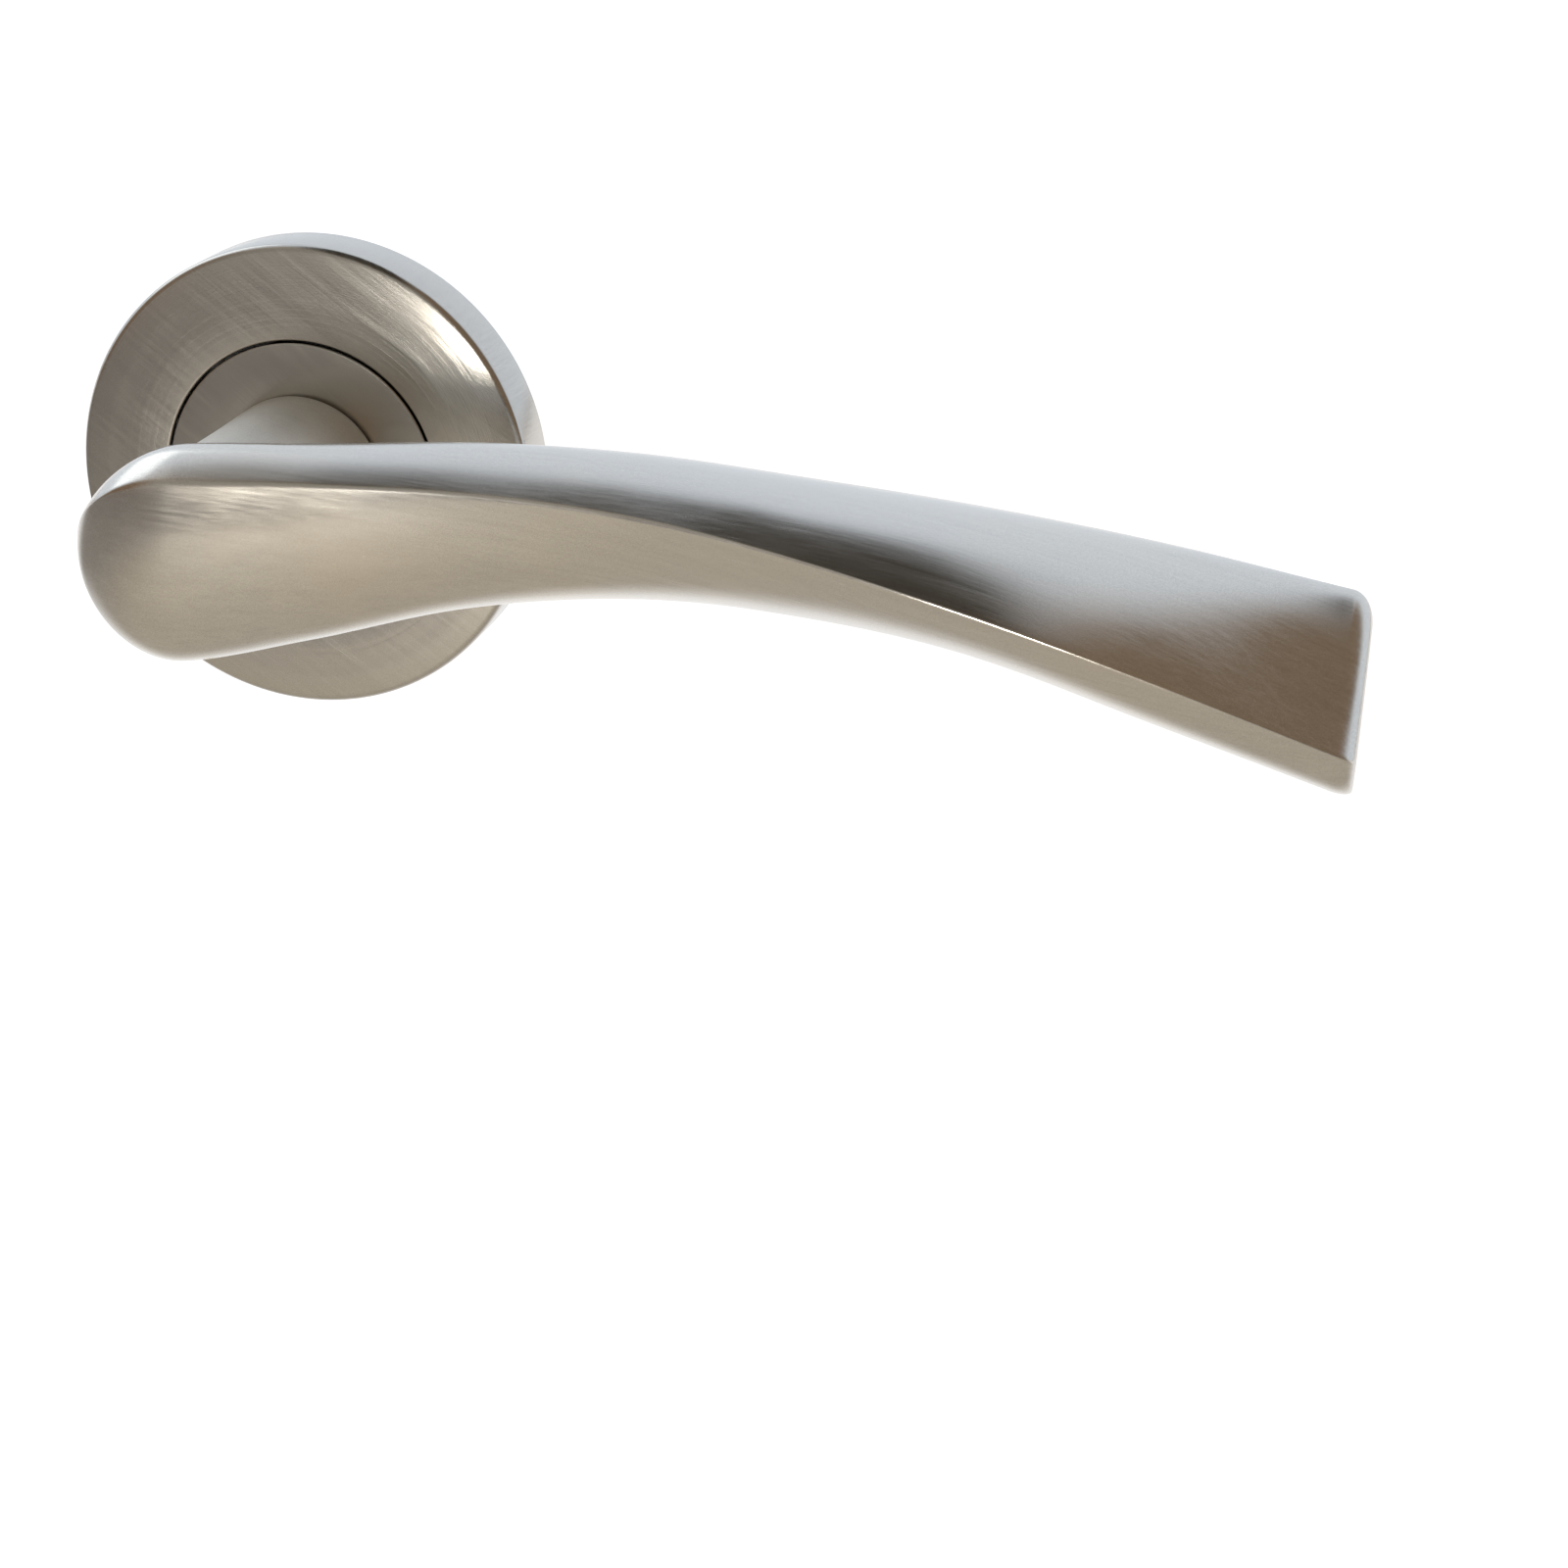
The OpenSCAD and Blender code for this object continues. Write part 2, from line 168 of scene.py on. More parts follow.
class Sock:
    """A number socket that can be added, subtracted, multiplied and divided."""

    def __init__(self, tree, link):
        self.tree, self.link = tree, link

    def maths(self, operation, *values):
        return self.tree.node("ShaderNodeMath", {"operation": operation},
                              dict(enumerate(values)))

    def __add__(self, other):
        return self.maths("ADD", self, other)

    def __radd__(self, other):
        return self.maths("ADD", other, self)

    def __sub__(self, other):
        return self.maths("SUBTRACT", self, other)

    def __rsub__(self, other):
        return self.maths("SUBTRACT", other, self)

    def __mul__(self, other):
        return self.maths("MULTIPLY", self, other)

    def __rmul__(self, other):
        return self.maths("MULTIPLY", other, self)

    def __truediv__(self, other):
        return self.maths("DIVIDE", self, other)

    def cos(self):
        return self.maths("COSINE", self)

    def sin(self):
        return self.maths("SINE", self)

    def spread(self, low, high, start, end):
        """This value's run from low to high becomes start to end, kept within it."""
        return self.tree.node(
            "ShaderNodeMapRange", {"clamp": True},
            {"Value": self, "From Min": low, "From Max": high, "To Min": start,
             "To Max": end})


class Tree:
    """A node tree, and the one way in which a node is put in it."""

    def __init__(self, tree):
        self.tree = tree

    def node(self, kind, settings=None, values=None, out=0, raw=False):
        made = self.tree.nodes.new(kind)
        for key, value in (settings or {}).items():
            if key == "stops":
                ramp = made.color_ramp.elements
                while len(ramp) < len(value):
                    ramp.new(1.0)
                for stop, (place, colour) in zip(ramp, value):
                    stop.position, stop.color = place, colour
            else:
                setattr(made, key, value)
        for key, value in (values or {}).items():
            if isinstance(value, Sock):
                self.tree.links.new(value.link, made.inputs[key])
            else:
                made.inputs[key].default_value = value
        return made if raw else Sock(self, made.outputs[out])


class Metal(Tree):
    """A material whose base shader is filled in by name."""

    def __init__(self, slot):
        self.material = bpy.data.materials.new(slot)
        self.material.use_nodes = True
        super().__init__(self.material.node_tree)
        self.tree.nodes.clear()
        self.place = self.node("ShaderNodeTexCoord", out="Object")

    def noise(self, vector, scale=1.0, detail=2.0, rough=0.5):
        return self.node("ShaderNodeTexNoise", {"noise_dimensions": "3D"},
                         {"Vector": vector, "Scale": scale, "Detail": detail,
                          "Roughness": rough}, out="Fac")

    def split(self):
        """The three object coordinates as numbers, in metres."""
        parts = self.node("ShaderNodeSeparateXYZ", values={"Vector": self.place}, raw=True)
        return [Sock(self, parts.outputs[i]) for i in range(3)]

    def vector(self, x, y, z):
        return self.node("ShaderNodeCombineXYZ", values={0: x, 1: y, 2: z})

    def mix(self, factor, a, b):
        return self.node("ShaderNodeMix", {"data_type": "RGBA", "clamp_factor": True},
                         {0: factor, 6: a, 7: b}, out=2)

    def bump(self, height, strength, distance):
        return self.node("ShaderNodeBump", values={
            "Height": height, "Strength": strength, "Distance": distance})

    def finish(self, **sockets):
        shader = self.node("ShaderNodeBsdfPrincipled", values={
            key.replace("_", " "): value for key, value in sockets.items()})
        self.node("ShaderNodeOutputMaterial", values={"Surface": shader}, raw=True)
        return self.material


def shade(colour, by):
    return tuple(min(1.0, c * by) for c in colour[:3]) + (1.0,)


def tint(colour, r, g, b):
    return (colour[0] * r, colour[1] * g, colour[2] * b, 1.0)


# ---------------------------------------------------------------- finishes


def satin_nickel(slot, lines, finish, painted_light_level=1.0, rough=0.0, stroke_depth=0.5,
                 speckle=1.0, turned=0.0):
    """Brushed satin plating. lines(metal) gives a vector that is stretched along the
    strokes, so noise on it draws them. turned is the depth of the lathe's own rings.
    The fourth argument scales the one plating's colour piece by piece: painted light
    above 1, painted shade below 1."""
    m = Metal(slot)
    stroke = lines(m)
    fine = m.noise(stroke, 1.0, 3.0, 0.65)
    broad = m.noise(stroke, 0.23, 2.0, 0.5)
    grain = m.noise(m.place, 9000.0, 1.0, 0.5)
    cloud = m.noise(m.place, 55.0, 3.0, 0.55)
    worn = m.noise(m.place, 21.0, 2.0, 0.5)
    tone = (fine - 0.5) * (0.30 * finish.brushing) + (broad - 0.5) * (0.16 * finish.brushing)
    tone = tone + (grain - 0.5) * (0.55 * speckle) + (cloud - 0.5) * 0.10
    colour = m.mix(tone.spread(-0.25, 0.25, 0.0, 1.0),
                   shade(finish.nickel, 0.80 * painted_light_level), shade(finish.nickel, 1.17 * painted_light_level))
    warm = tint(finish.nickel, 1.05 * painted_light_level, 0.99 * painted_light_level, 0.90 * painted_light_level)
    colour = m.mix(cloud.spread(0.50, 0.72, 0.0, 0.35), colour, warm)
    cool = tint(finish.nickel, 0.97 * painted_light_level, 1.0 * painted_light_level, 1.07 * painted_light_level)
    colour = m.mix(worn.spread(0.45, 0.70, 0.0, 0.30), colour, cool)
    rub = (finish.nickel_roughness + rough + (fine - 0.5) * 0.16 + (broad - 0.5) * 0.10
           + (worn - 0.5) * 0.08)
    height = fine * stroke_depth + broad * (0.5 * stroke_depth) + grain * (0.16 * speckle)
    if turned:
        x, _, z = m.split()
        out = x.maths("SQRT", x * x + z * z)
        height = height + m.noise(m.vector(out * 12000.0, 0.0, 0.0), 1.0, 1.0, 0.5) * turned
    return m.finish(Base_Color=colour, Metallic=1.0, Roughness=rub.spread(0.12, 0.7, 0.12, 0.7),
                    Normal=m.bump(height * finish.brushing, 1.0, 1.0e-5))


def straight_lines(turn, along=160.0, across=7000.0):
    """Strokes that fall towards the tip by the turn, over the whole face."""
    c, s = math.cos(turn), math.sin(turn)

    def stroke(m):
        x, y, z = m.split()
        return m.vector((x * c - z * s) * along, y * along, (x * s + z * c) * across)

    return stroke


def lengthwise_lines(m):
    """Strokes along the lever that follow its bow."""
    x, y, z = m.split()
    arch = x * x * 1.05
    return m.vector(x * 70.0, y * 2600.0, (z + arch) * 2600.0)


def ringed_lines(m):
    """Strokes round the spindle's axis."""
    x, y, z = m.split()
    out = x.maths("SQRT", x * x + z * z)
    turn = x.maths("ARCTAN2", z, x)
    return m.vector(turn.cos() * 9.0 + out * 900.0, y * 5000.0, turn.sin() * 9.0)


def plain_metal(slot, colour, roughness, scale=900.0, change=0.14, lift=0.25):
    """Unbrushed metal with a mottled skin and rubbed spots."""
    m = Metal(slot)
    skin = m.noise(m.place, scale, 4.0, 0.6)
    patch = m.noise(m.place, scale * 0.13, 3.0, 0.55)
    body = m.mix(skin.spread(0.3, 0.7, 0.0, 1.0), shade(colour, 1.0 - change),
                 shade(colour, 1.0 + change))
    body = m.mix(patch.spread(0.52, 0.70, 0.0, 0.5), body, shade(colour, 1.0 - 2.2 * change))
    rub = (skin - 0.5) * 0.25 + (patch - 0.5) * 0.30 + roughness
    return m.finish(Base_Color=body, Metallic=1.0, Roughness=rub.spread(0.08, 0.9, 0.08, 0.9),
                    Normal=m.bump(skin + patch * 0.5, lift, 2.5e-5))


def plain_dull(slot, colour, roughness, scale=1100.0, change=0.10, lift=0.3):
    """Moulded plastic or rubber with a fine dull grain."""
    m = Metal(slot)
    skin = m.noise(m.place, scale, 4.0, 0.6)
    patch = m.noise(m.place, scale * 0.1, 3.0, 0.5)
    body = m.mix(skin.spread(0.3, 0.7, 0.0, 1.0), shade(colour, 1.0 - change),
                 shade(colour, 1.0 + change))
    body = m.mix(patch.spread(0.5, 0.72, 0.0, 0.45), body, shade(colour, 1.0 - 2.5 * change))
    rub = (skin - 0.5) * 0.15 + (patch - 0.5) * 0.2 + roughness
    return m.finish(Base_Color=body, Roughness=rub.spread(0.1, 0.95, 0.1, 0.95),
                    Normal=m.bump(skin, lift, 2.0e-5))


FINISHES = {}


def make_finishes(finish):
    """Every material by its slot's name, made once."""
    brush = math.radians(32)
    FINISHES.update({
        # each satin slot's fourth number is painted light and shade: the neck's plating is painted
        # brighter (1.45), the rose's (0.86) and the disc's (0.80) darker
        "satin_nickel_rose": satin_nickel(
            "satin_nickel_rose", straight_lines(brush), finish, 0.86, 0.0, 0.7, 0.9, 1.5),
        "satin_nickel_disc": satin_nickel(
            "satin_nickel_disc", straight_lines(brush + 0.1), finish, 0.80, 0.0, 0.4, 0.9, 0.4),
        "satin_nickel_lever": satin_nickel(
            "satin_nickel_lever", lengthwise_lines, finish, 1.0, 0.0, 0.45, 1.2),
        "satin_nickel_neck": satin_nickel(
            "satin_nickel_neck", ringed_lines, finish, 1.45, 0.28, 3.0, 1.5),
        "black_rubber": plain_dull("black_rubber", (0.022, 0.022, 0.024), 0.62),
        "nylon": plain_dull("nylon", (0.72, 0.71, 0.66), 0.42),
        "zinc_steel": plain_metal("zinc_steel", (0.56, 0.58, 0.61), 0.34, 520.0),
        "cast_zinc": plain_metal("cast_zinc", (0.44, 0.45, 0.47), 0.46, 1500.0, 0.16, 0.6),
        "bright_steel": plain_metal("bright_steel", (0.66, 0.66, 0.67), 0.22, 1300.0, 0.08),
        "spring_steel": plain_metal("spring_steel", (0.52, 0.53, 0.55), 0.28, 1600.0, 0.10),
        "black_spring_steel": plain_metal(
            "black_spring_steel", (0.085, 0.085, 0.09), 0.38, 1400.0, 0.2),
        "yellow_zinc": plain_metal("yellow_zinc", (0.66, 0.53, 0.27), 0.27, 800.0, 0.16),
        "spindle_steel": plain_metal("spindle_steel", (0.50, 0.50, 0.51), 0.36, 700.0, 0.15),
        "black_steel": plain_metal("black_steel", (0.06, 0.06, 0.063), 0.42, 1500.0, 0.2),
    })


# ---------------------------------------------------------------- shapes


def at(x, up, off):
    """A point given along the lever, up, and off the door, all in mm."""
    return (x * MM, -off * MM, up * MM)


def closed(name, points, faces, merge=1e-7):
    """A mesh object from points in metres, merged and turned outwards."""
    mesh = bpy.data.meshes.new(name)
    mesh.from_pydata(points, [], faces)
    return shell(name, mesh, merge)


def shell(name, mesh, merge=1e-7):
    work = bmesh.new()
    work.from_mesh(mesh)
    bmesh.ops.remove_doubles(work, verts=work.verts, dist=merge)
    bmesh.ops.dissolve_degenerate(work, edges=work.edges, dist=merge)
    bmesh.ops.recalc_face_normals(work, faces=work.faces)
    if work.calc_volume(signed=True) < 0:
        bmesh.ops.reverse_faces(work, faces=work.faces)
    work.to_mesh(mesh)
    work.free()
    made = bpy.data.objects.new(name, mesh)
    bpy.context.scene.collection.objects.link(made)
    return made


def grid(rows, loop=True):
    """Quads between rows of points; each row is a ring."""
    m, n = len(rows), len(rows[0])
    points = [p for row in rows for p in row]
    faces = [(i * n + j, i * n + (j + 1) % n, (i + 1) * n + (j + 1) % n, (i + 1) * n + j)
             for i in range(m - 1) for j in range(n if loop else n - 1)]
    return points, faces


def eased(profile, steps=5):
    """A profile of (radius, off the door, rounding) with its corners rounded."""
    out = []
    count = len(profile)
    for i, (r, d, round_r) in enumerate(profile):
        here = Vector((r, d))
        if not round_r:
            out.append(here)
            continue
        before = Vector(profile[i - 1][:2]) - here
        after = Vector(profile[(i + 1) % count][:2]) - here
        half = before.angle(after) / 2
        cut = min(round_r / math.tan(half), 0.49 * before.length, 0.49 * after.length)
        a, b = here + before.normalized() * cut, here + after.normalized() * cut
        true_r = cut * math.tan(half)
        middle = here + (before.normalized() + after.normalized()).normalized() * (
            true_r / math.sin(half))
        sweep = math.pi - 2 * half
        for k in range(steps + 1):
            t = k / steps
            arm = (a - middle) * math.sin((1 - t) * sweep) + (b - middle) * math.sin(t * sweep)
            out.append(middle + arm / max(1e-9, math.sin(sweep)))
    return [(p.x, p.y) for p in out]


def lathe(name, profile, segments=256):
    """A turned piece from a closed profile of (radius, off the door, rounding) in mm."""
    line = eased(profile)
    rows = [[at(r * math.cos(2 * math.pi * j / segments),
                r * math.sin(2 * math.pi * j / segments), d)
             for j in range(segments)] for r, d in line + line[:1]]
    return closed(name, *grid(rows))


def loft(name, rows):
    """A closed piece from rings of points in mm, with both ends capped to a middle."""
    points, faces = grid([[at(*p) for p in row] for row in rows])
    n = len(rows[0])
    first, last = 0, (len(rows) - 1) * n
    for start, row in ((first, rows[0]), (last, rows[-1])):
        middle = tuple(sum(p[k] for p in row) / n for k in range(3))
        points.append(at(*middle))
        faces += [(start + j, start + (j + 1) % n, len(points) - 1) for j in range(n)]
    return closed(name, points, faces)


def post(name, x, up, off0, off1, radius, segments=64, far_radius=None):
    """A plain cylinder or cone off the door, to join on or to cut with."""
    rows = [[(x + r * math.cos(2 * math.pi * j / segments),
              up + r * math.sin(2 * math.pi * j / segments), off)
             for j in range(segments)]
            for r, off in ((radius, off0), (far_radius or radius, off1))]
    return loft(name, rows)


def bar(name, low, high, turn=0.0):
    """A block between two corners (x, up, off), turned about the spindle's axis."""
    c, s = math.cos(math.radians(turn)), math.sin(math.radians(turn))
    rows = []
    for off in (low[2], high[2]):
        ring = [(low[0], low[1]), (high[0], low[1]), (high[0], high[1]), (low[0], high[1])]
        rows.append([(x * c - y * s, x * s + y * c, off) for x, y in ring])
    return loft(name, rows)


def fused(base, others, operation):
    """Join others to base, or cut them from it, and throw them away."""
    for other in others:
        step = base.modifiers.new("step", "BOOLEAN")
        step.operation, step.solver, step.object = operation, "EXACT", other
    settled(base)
    for other in others:
        mesh = other.data
        bpy.data.objects.remove(other)
        bpy.data.meshes.remove(mesh)
    return base


def settled(obj):
    """The object's modifiers become its mesh."""
    bpy.context.view_layer.update()
    shaped = obj.evaluated_get(bpy.context.evaluated_depsgraph_get())
    mesh = bpy.data.meshes.new_from_object(shaped)
    obj.modifiers.clear()
    old, obj.data = obj.data, mesh
    mesh.name = obj.name
    bpy.data.meshes.remove(old)
    return obj


def softened(obj, width, angle=35.0, segments=2):
    """Break the sharp edges by a small width in mm."""
    work = bmesh.new()
    work.from_mesh(obj.data)
    bmesh.ops.remove_doubles(work, verts=work.verts, dist=2e-7)
    bmesh.ops.dissolve_limit(work, angle_limit=math.radians(0.6), verts=work.verts,
                             edges=work.edges)
    work.to_mesh(obj.data)
    work.free()
    edge = obj.modifiers.new("edge", "BEVEL")
    edge.width, edge.segments = width * MM, segments
    edge.limit_method, edge.angle_limit = "ANGLE", math.radians(angle)
    edge.use_clamp_overlap = True
    return settled(obj)


def placed(obj, body, slot, *nodes, smooth=35.0):
    """Give a finished piece its material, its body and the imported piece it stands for."""
    obj.data.shade_smooth()
    obj.data.set_sharp_from_angle(angle=math.radians(smooth))
    obj.data.materials.clear()
    obj.data.materials.append(FINISHES[slot])
    if body:
        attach(obj, body)
    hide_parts(*nodes)
    return obj


def packed_copy(node, name, width):
    """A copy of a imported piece, merged, with its edges broken."""
    source = frame[node] if isinstance(frame, dict) and node in frame else bpy.data.objects[node]
    mesh = source.data.copy()
    obj = shell(name, mesh, 1e-6)
    return softened(obj, width, 30.0)


# ---------------------------------------------------------------- things in pairs


def pair_tree(material):
    """Copies the incoming piece round the spindle's axis: how many, and the turn."""
    tree = bpy.data.node_groups.new("round_the_spindle", "GeometryNodeTree")
    face = tree.interface
    face.new_socket("Piece", in_out="INPUT", socket_type="NodeSocketGeometry")
    count = face.new_socket("Count", in_out="INPUT", socket_type="NodeSocketInt")
    turn = face.new_socket("Turn", in_out="INPUT", socket_type="NodeSocketFloat")
    face.new_socket("Pieces", in_out="OUTPUT", socket_type="NodeSocketGeometry")
    t = Tree(tree)
    given = t.node("NodeGroupInput", raw=True)
    piece, number, step = (Sock(t, given.outputs[i]) for i in range(3))
    points = t.node("GeometryNodePoints", values={"Count": number})
    angle = t.node("GeometryNodeInputIndex") * step
    turned = t.node("ShaderNodeCombineXYZ", values={1: angle})
    copies = t.node("GeometryNodeInstanceOnPoints", values={
        "Points": points, "Instance": piece, "Rotation": turned})
    real = t.node("GeometryNodeRealizeInstances", values={"Geometry": copies})
    skinned = t.node("GeometryNodeSetMaterial", values={"Geometry": real, "Material": material})
    t.node("NodeGroupOutput", values={0: skinned}, raw=True)
    return tree, count.identifier, turn.identifier


def paired(obj, slot, count=2):
    """Repeat a piece evenly round the spindle's axis."""
    tree, number, turn = pair_tree(FINISHES[slot])
    nodes = obj.modifiers.new("pair", "NODES")
    nodes.node_group = tree
    nodes[number], nodes[turn] = count, 2 * math.pi / count
    return settled(obj)


def coil_tree(material):
    """A compression spring bent round the spindle's axis, from its sizes."""
    tree = bpy.data.node_groups.new("bent_spring", "GeometryNodeTree")
    face = tree.interface
    names = ("Turns", "Path radius", "Coil radius", "Wire radius", "Start", "End", "Off door")
    ids = {n: face.new_socket(n, in_out="INPUT", socket_type="NodeSocketFloat").identifier
           for n in names}
    face.new_socket("Spring", in_out="OUTPUT", socket_type="NodeSocketGeometry")
    t = Tree(tree)
    given = t.node("NodeGroupInput", raw=True)
    turns, path, coil, wire, start, end, off = (
        Sock(t, given.outputs[i]) for i in range(len(names)))
    count = 13 * 40 + 1
    share = t.node("GeometryNodeInputIndex") / float(count - 1)
    angle = start + (end - start) * share
    swing = turns * (2 * math.pi) * share
    radius = path + (coil - wire) * swing.cos()
    depth = off + (coil - wire) * swing.sin()
    point = t.node("ShaderNodeCombineXYZ", values={
        0: radius * angle.cos(), 1: depth * -1.0, 2: radius * angle.sin()})
    line = t.node("GeometryNodeMeshLine", values={"Count": count})
    bent = t.node("GeometryNodeSetPosition", values={"Geometry": line, "Position": point})
    path_line = t.node("GeometryNodeMeshToCurve", values={"Mesh": bent})
    ring = t.node("GeometryNodeCurvePrimitiveCircle", values={"Resolution": 16, "Radius": wire})
    tube = t.node("GeometryNodeCurveToMesh", values={
        "Curve": path_line, "Profile Curve": ring, "Fill Caps": True})
    real = t.node("GeometryNodeRealizeInstances", values={"Geometry": tube})
    skinned = t.node("GeometryNodeSetMaterial", values={"Geometry": real, "Material": material})
    t.node("NodeGroupOutput", values={0: skinned}, raw=True)
    return tree, ids


# ---------------------------------------------------------------- threads and sockets


def threaded(name, length, core, crest, pitch, ends, taper=0.0, plain=0.0, around=48):
    """A rod along +off from 0 to length mm with a helical thread. ends is the chamfer;
    taper draws the first millimetres in to a point; plain leaves the far end smooth."""
    rows = []
    steps = max(2, round(length / pitch * 12))
    for i in range(steps + 1):
        z = length * i / steps
        ring = []
        for j in range(around):
            a = 2 * math.pi * j / around
            wave = abs(((z / pitch - j / around) % 1.0) * 2 - 1)
            ridge = max(0.0, wave * 1.25 - 0.25)
            run = min(1.0, max(0.0, (length - plain - z) / pitch)) if plain else 1.0
            r = core + (crest - core) * ridge * run
            if plain and z > length - plain:
                r = core
            if taper:
                r *= min(1.0, 0.08 + 0.92 * (z / taper) ** 0.8) if z < taper else 1.0
            near = min(z, length - z)
            if ends and near < ends:
                r -= (ends - near) * 0.8
            ring.append((r * math.cos(a), r * math.sin(a), z))
        rows.append(ring)
    return loft(name, rows)


def moved(obj, x, up, off, turn=None):
    """Set a piece down at (x, up, off) in mm, after an optional turn."""
    place = Matrix.Translation(at(x, up, off))
    obj.data.transform(place @ turn if turn else place)
    return obj


# ---------------------------------------------------------------- the lever's shape

# Station in percent of the length, then the crease (depth behind the front, height),
# the top face's angle there and the height it is drawn towards, the back (depth,
# height), the underside (depth, height) and the front face's angle at the crease.
STATIONS = (
    (-12, 2.5, 10.8, 20, 11.5, 12.0, -0.5, 10.5, -10.0, 98),
    (0, 2.5, 11.2, 45, 17.4, 12.5, 2.0, 10.0, -9.6, 98),
    (12, 3.6, 12.4, 42, 18.2, 15.5, 3.5, 11.0, -5.6, 94),
    (25, 4.6, 13.3, 40, 18.2, 21.0, 5.5, 13.0, -0.7, 87),
    (38, 4.0, 13.5, 38, 17.0, 25.5, 6.5, 15.5, 2.0, 76),
    (50, 2.2, 12.7, 36, 15.6, 28.0, 7.0, 17.0, 2.8, 66),
    (67, 0.0, 9.8, 35, 16.3, 29.0, 6.0, 15.5, 2.2, 58),
    (84, 2.2, 4.3, 39, 17.2, 28.5, 4.5, 13.0, -2.4, 52),
    (100, 8.5, -3.0, 45, 18.0, 25.0, 4.0, 15.5, -8.5, 50),
)
HEEL_UP = 0.8
HEEL_X = 2.0

# Station in percent of the neck, its drift along the lever and up, and its two growths.
NECK = ((0, 0, 0, 0.994, 0.994), (45, 0, 0, 0.997, 0.997), (75, 0.3, 0.4, 1.04, 1.03),
        (100, 1.2, 1.6, 1.12, 1.08))


def mix(a, b, t):
    return a + (b - a) * t


def track(table, x, k):
    """A smooth curve through column k of a table whose first column is the station."""
    i = 0
    while i < len(table) - 2 and x >= table[i + 1][0]:
        i += 1
    h = table[i + 1][0] - table[i][0]
    u = (x - table[i][0]) / h
    v = 1 - u

    def rise(n):
        a, b = max(0, n - 1), min(len(table) - 1, n + 1)
        return (table[b][k] - table[a][k]) / (table[b][0] - table[a][0])

    return (table[i][k] * v * v * (1 + 2 * u) + table[i + 1][k] * u * u * (3 - 2 * u)
            + h * (rise(i) * u * v * v - rise(i + 1) * u * u * v))


def bend(a, b, c, d, t):
    s = 1 - t
    return a * s ** 3 + b * (3 * s * s * t) + c * (3 * s * t * t) + d * t ** 3


def lever_section(s, ease_by):
    """One cross-section as (depth, height), from just past the crease round the back and
    up the front, then over the eased crease."""
    cf, cz, top_turn, top, kf, kz, bf, bz, front_turn = (
        track(STATIONS, s, k) for k in range(1, 10))
    c, k, b = Vector((cf, cz)), Vector((kf, kz)), Vector((bf, bz))
    w, h = kf - cf, cz - bz
    ta, fa = math.radians(top_turn), math.radians(front_turn)
    c1 = c + Vector((math.cos(ta), math.sin(ta))) * (0.42 * w)
    k1, k2 = Vector((kf, top)), Vector((kf, mix(kz, bz, 0.6)))
    b1, b2 = Vector((mix(bf, kf, 0.6), bz)), Vector((mix(bf, cf, 0.75), bz))
    c2 = c + Vector((math.cos(fa), -math.sin(fa))) * (0.42 * h)
    t0 = ease_by / max(1.0, 3 * (c1 - c).length)
    t1 = 1 - ease_by / max(1.0, 3 * (c - c2).length)
    tops = [bend(c, c1, k1, k, mix(t0, 1, i / 40)) for i in range(40)]
    backs = [bend(k, k2, b1, b, i / 28) for i in range(28)]
    fronts = [bend(b, b2, c2, c, mix(0, t1, i / 36)) for i in range(37)]
    over = [fronts[-1] * (1 - t) ** 2 + c * (2 * t * (1 - t)) + tops[0] * t * t
            for t in (0.2, 0.4, 0.6, 0.8)]
    middle = Vector((mix(cf, kf, 0.5), mix(cz, bz, 0.4)))
    half = Vector((kf - cf, 14)).length / 2
    return tops + backs + fronts + over, middle, half


def lever_ring(x, z):
    """The ring of points at x mm along the lever."""
    s = max(-12.0, 100 * x / z.length)
    run = z.heel + HEEL_X
    e = 1.0 if x >= HEEL_X else math.sqrt(max(0.0, 1 - ((HEEL_X - x) / run) ** 2))
    t = x - z.length + z.tip_radius
    drawn = 0.0 if t <= 0 else z.tip_radius - math.sqrt(max(0.0, z.tip_radius ** 2 - t * t))
    points, middle, half = lever_section(s, z.crease_radius)
    lean_t = min(1.0, max(0.0, (x / z.length - 0.72) / 0.28))
    lean = z.tip_slant * lean_t * lean_t * (3 - 2 * lean_t)
    crease = track(STATIONS, s, 1)
    ring = []
    for q in points:
        a = Vector((mix(10.0, q[0], 0.1 + 0.9 * e), mix(HEEL_UP, q[1], e)))
        f = a + (middle - a) * (drawn / half)
        ring.append((x - lean * (f[0] - crease), f[1], z.projection - f[0]))
    return ring


def lever_rings(z):
    run = z.heel + HEEL_X
    places = [HEEL_X - run * math.cos(math.radians(90 * i / 40)) for i in range(1, 41)]
    places += [mix(HEEL_X, z.length - z.tip_radius, i / 132) for i in range(1, 133)]
    places += [z.length - z.tip_radius + z.tip_radius * math.sin(math.radians(90 * i / 16))
               for i in range(1, 17)]
    rings = [lever_ring(x, z) for x in places]
    pole = (-z.heel, HEEL_UP, z.projection - 10)
    rings.insert(0, [tuple(mix(p, q, 0.02) for p, q in zip(pole, r)) for r in rings[0]])
    last = rings[-1]
    middle = tuple(sum(p[k] for p in last) / len(last) for k in range(3))
    for part in (0.12, 0.3, 0.5, 0.7, 0.85, 0.96):
        rings.append([tuple(mix(p, q, part) for p, q in zip(r, middle)) for r in last])
    return rings


# ---------------------------------------------------------------- operators


class HANDLE_OT_finishes(bpy.types.Operator):
    """Make every material once, by slot"""
    bl_idname = "handle.finishes"
    bl_label = "Finishes"

    def execute(self, context):
        make_finishes(context.scene.handle_finish)
        return {"FINISHED"}


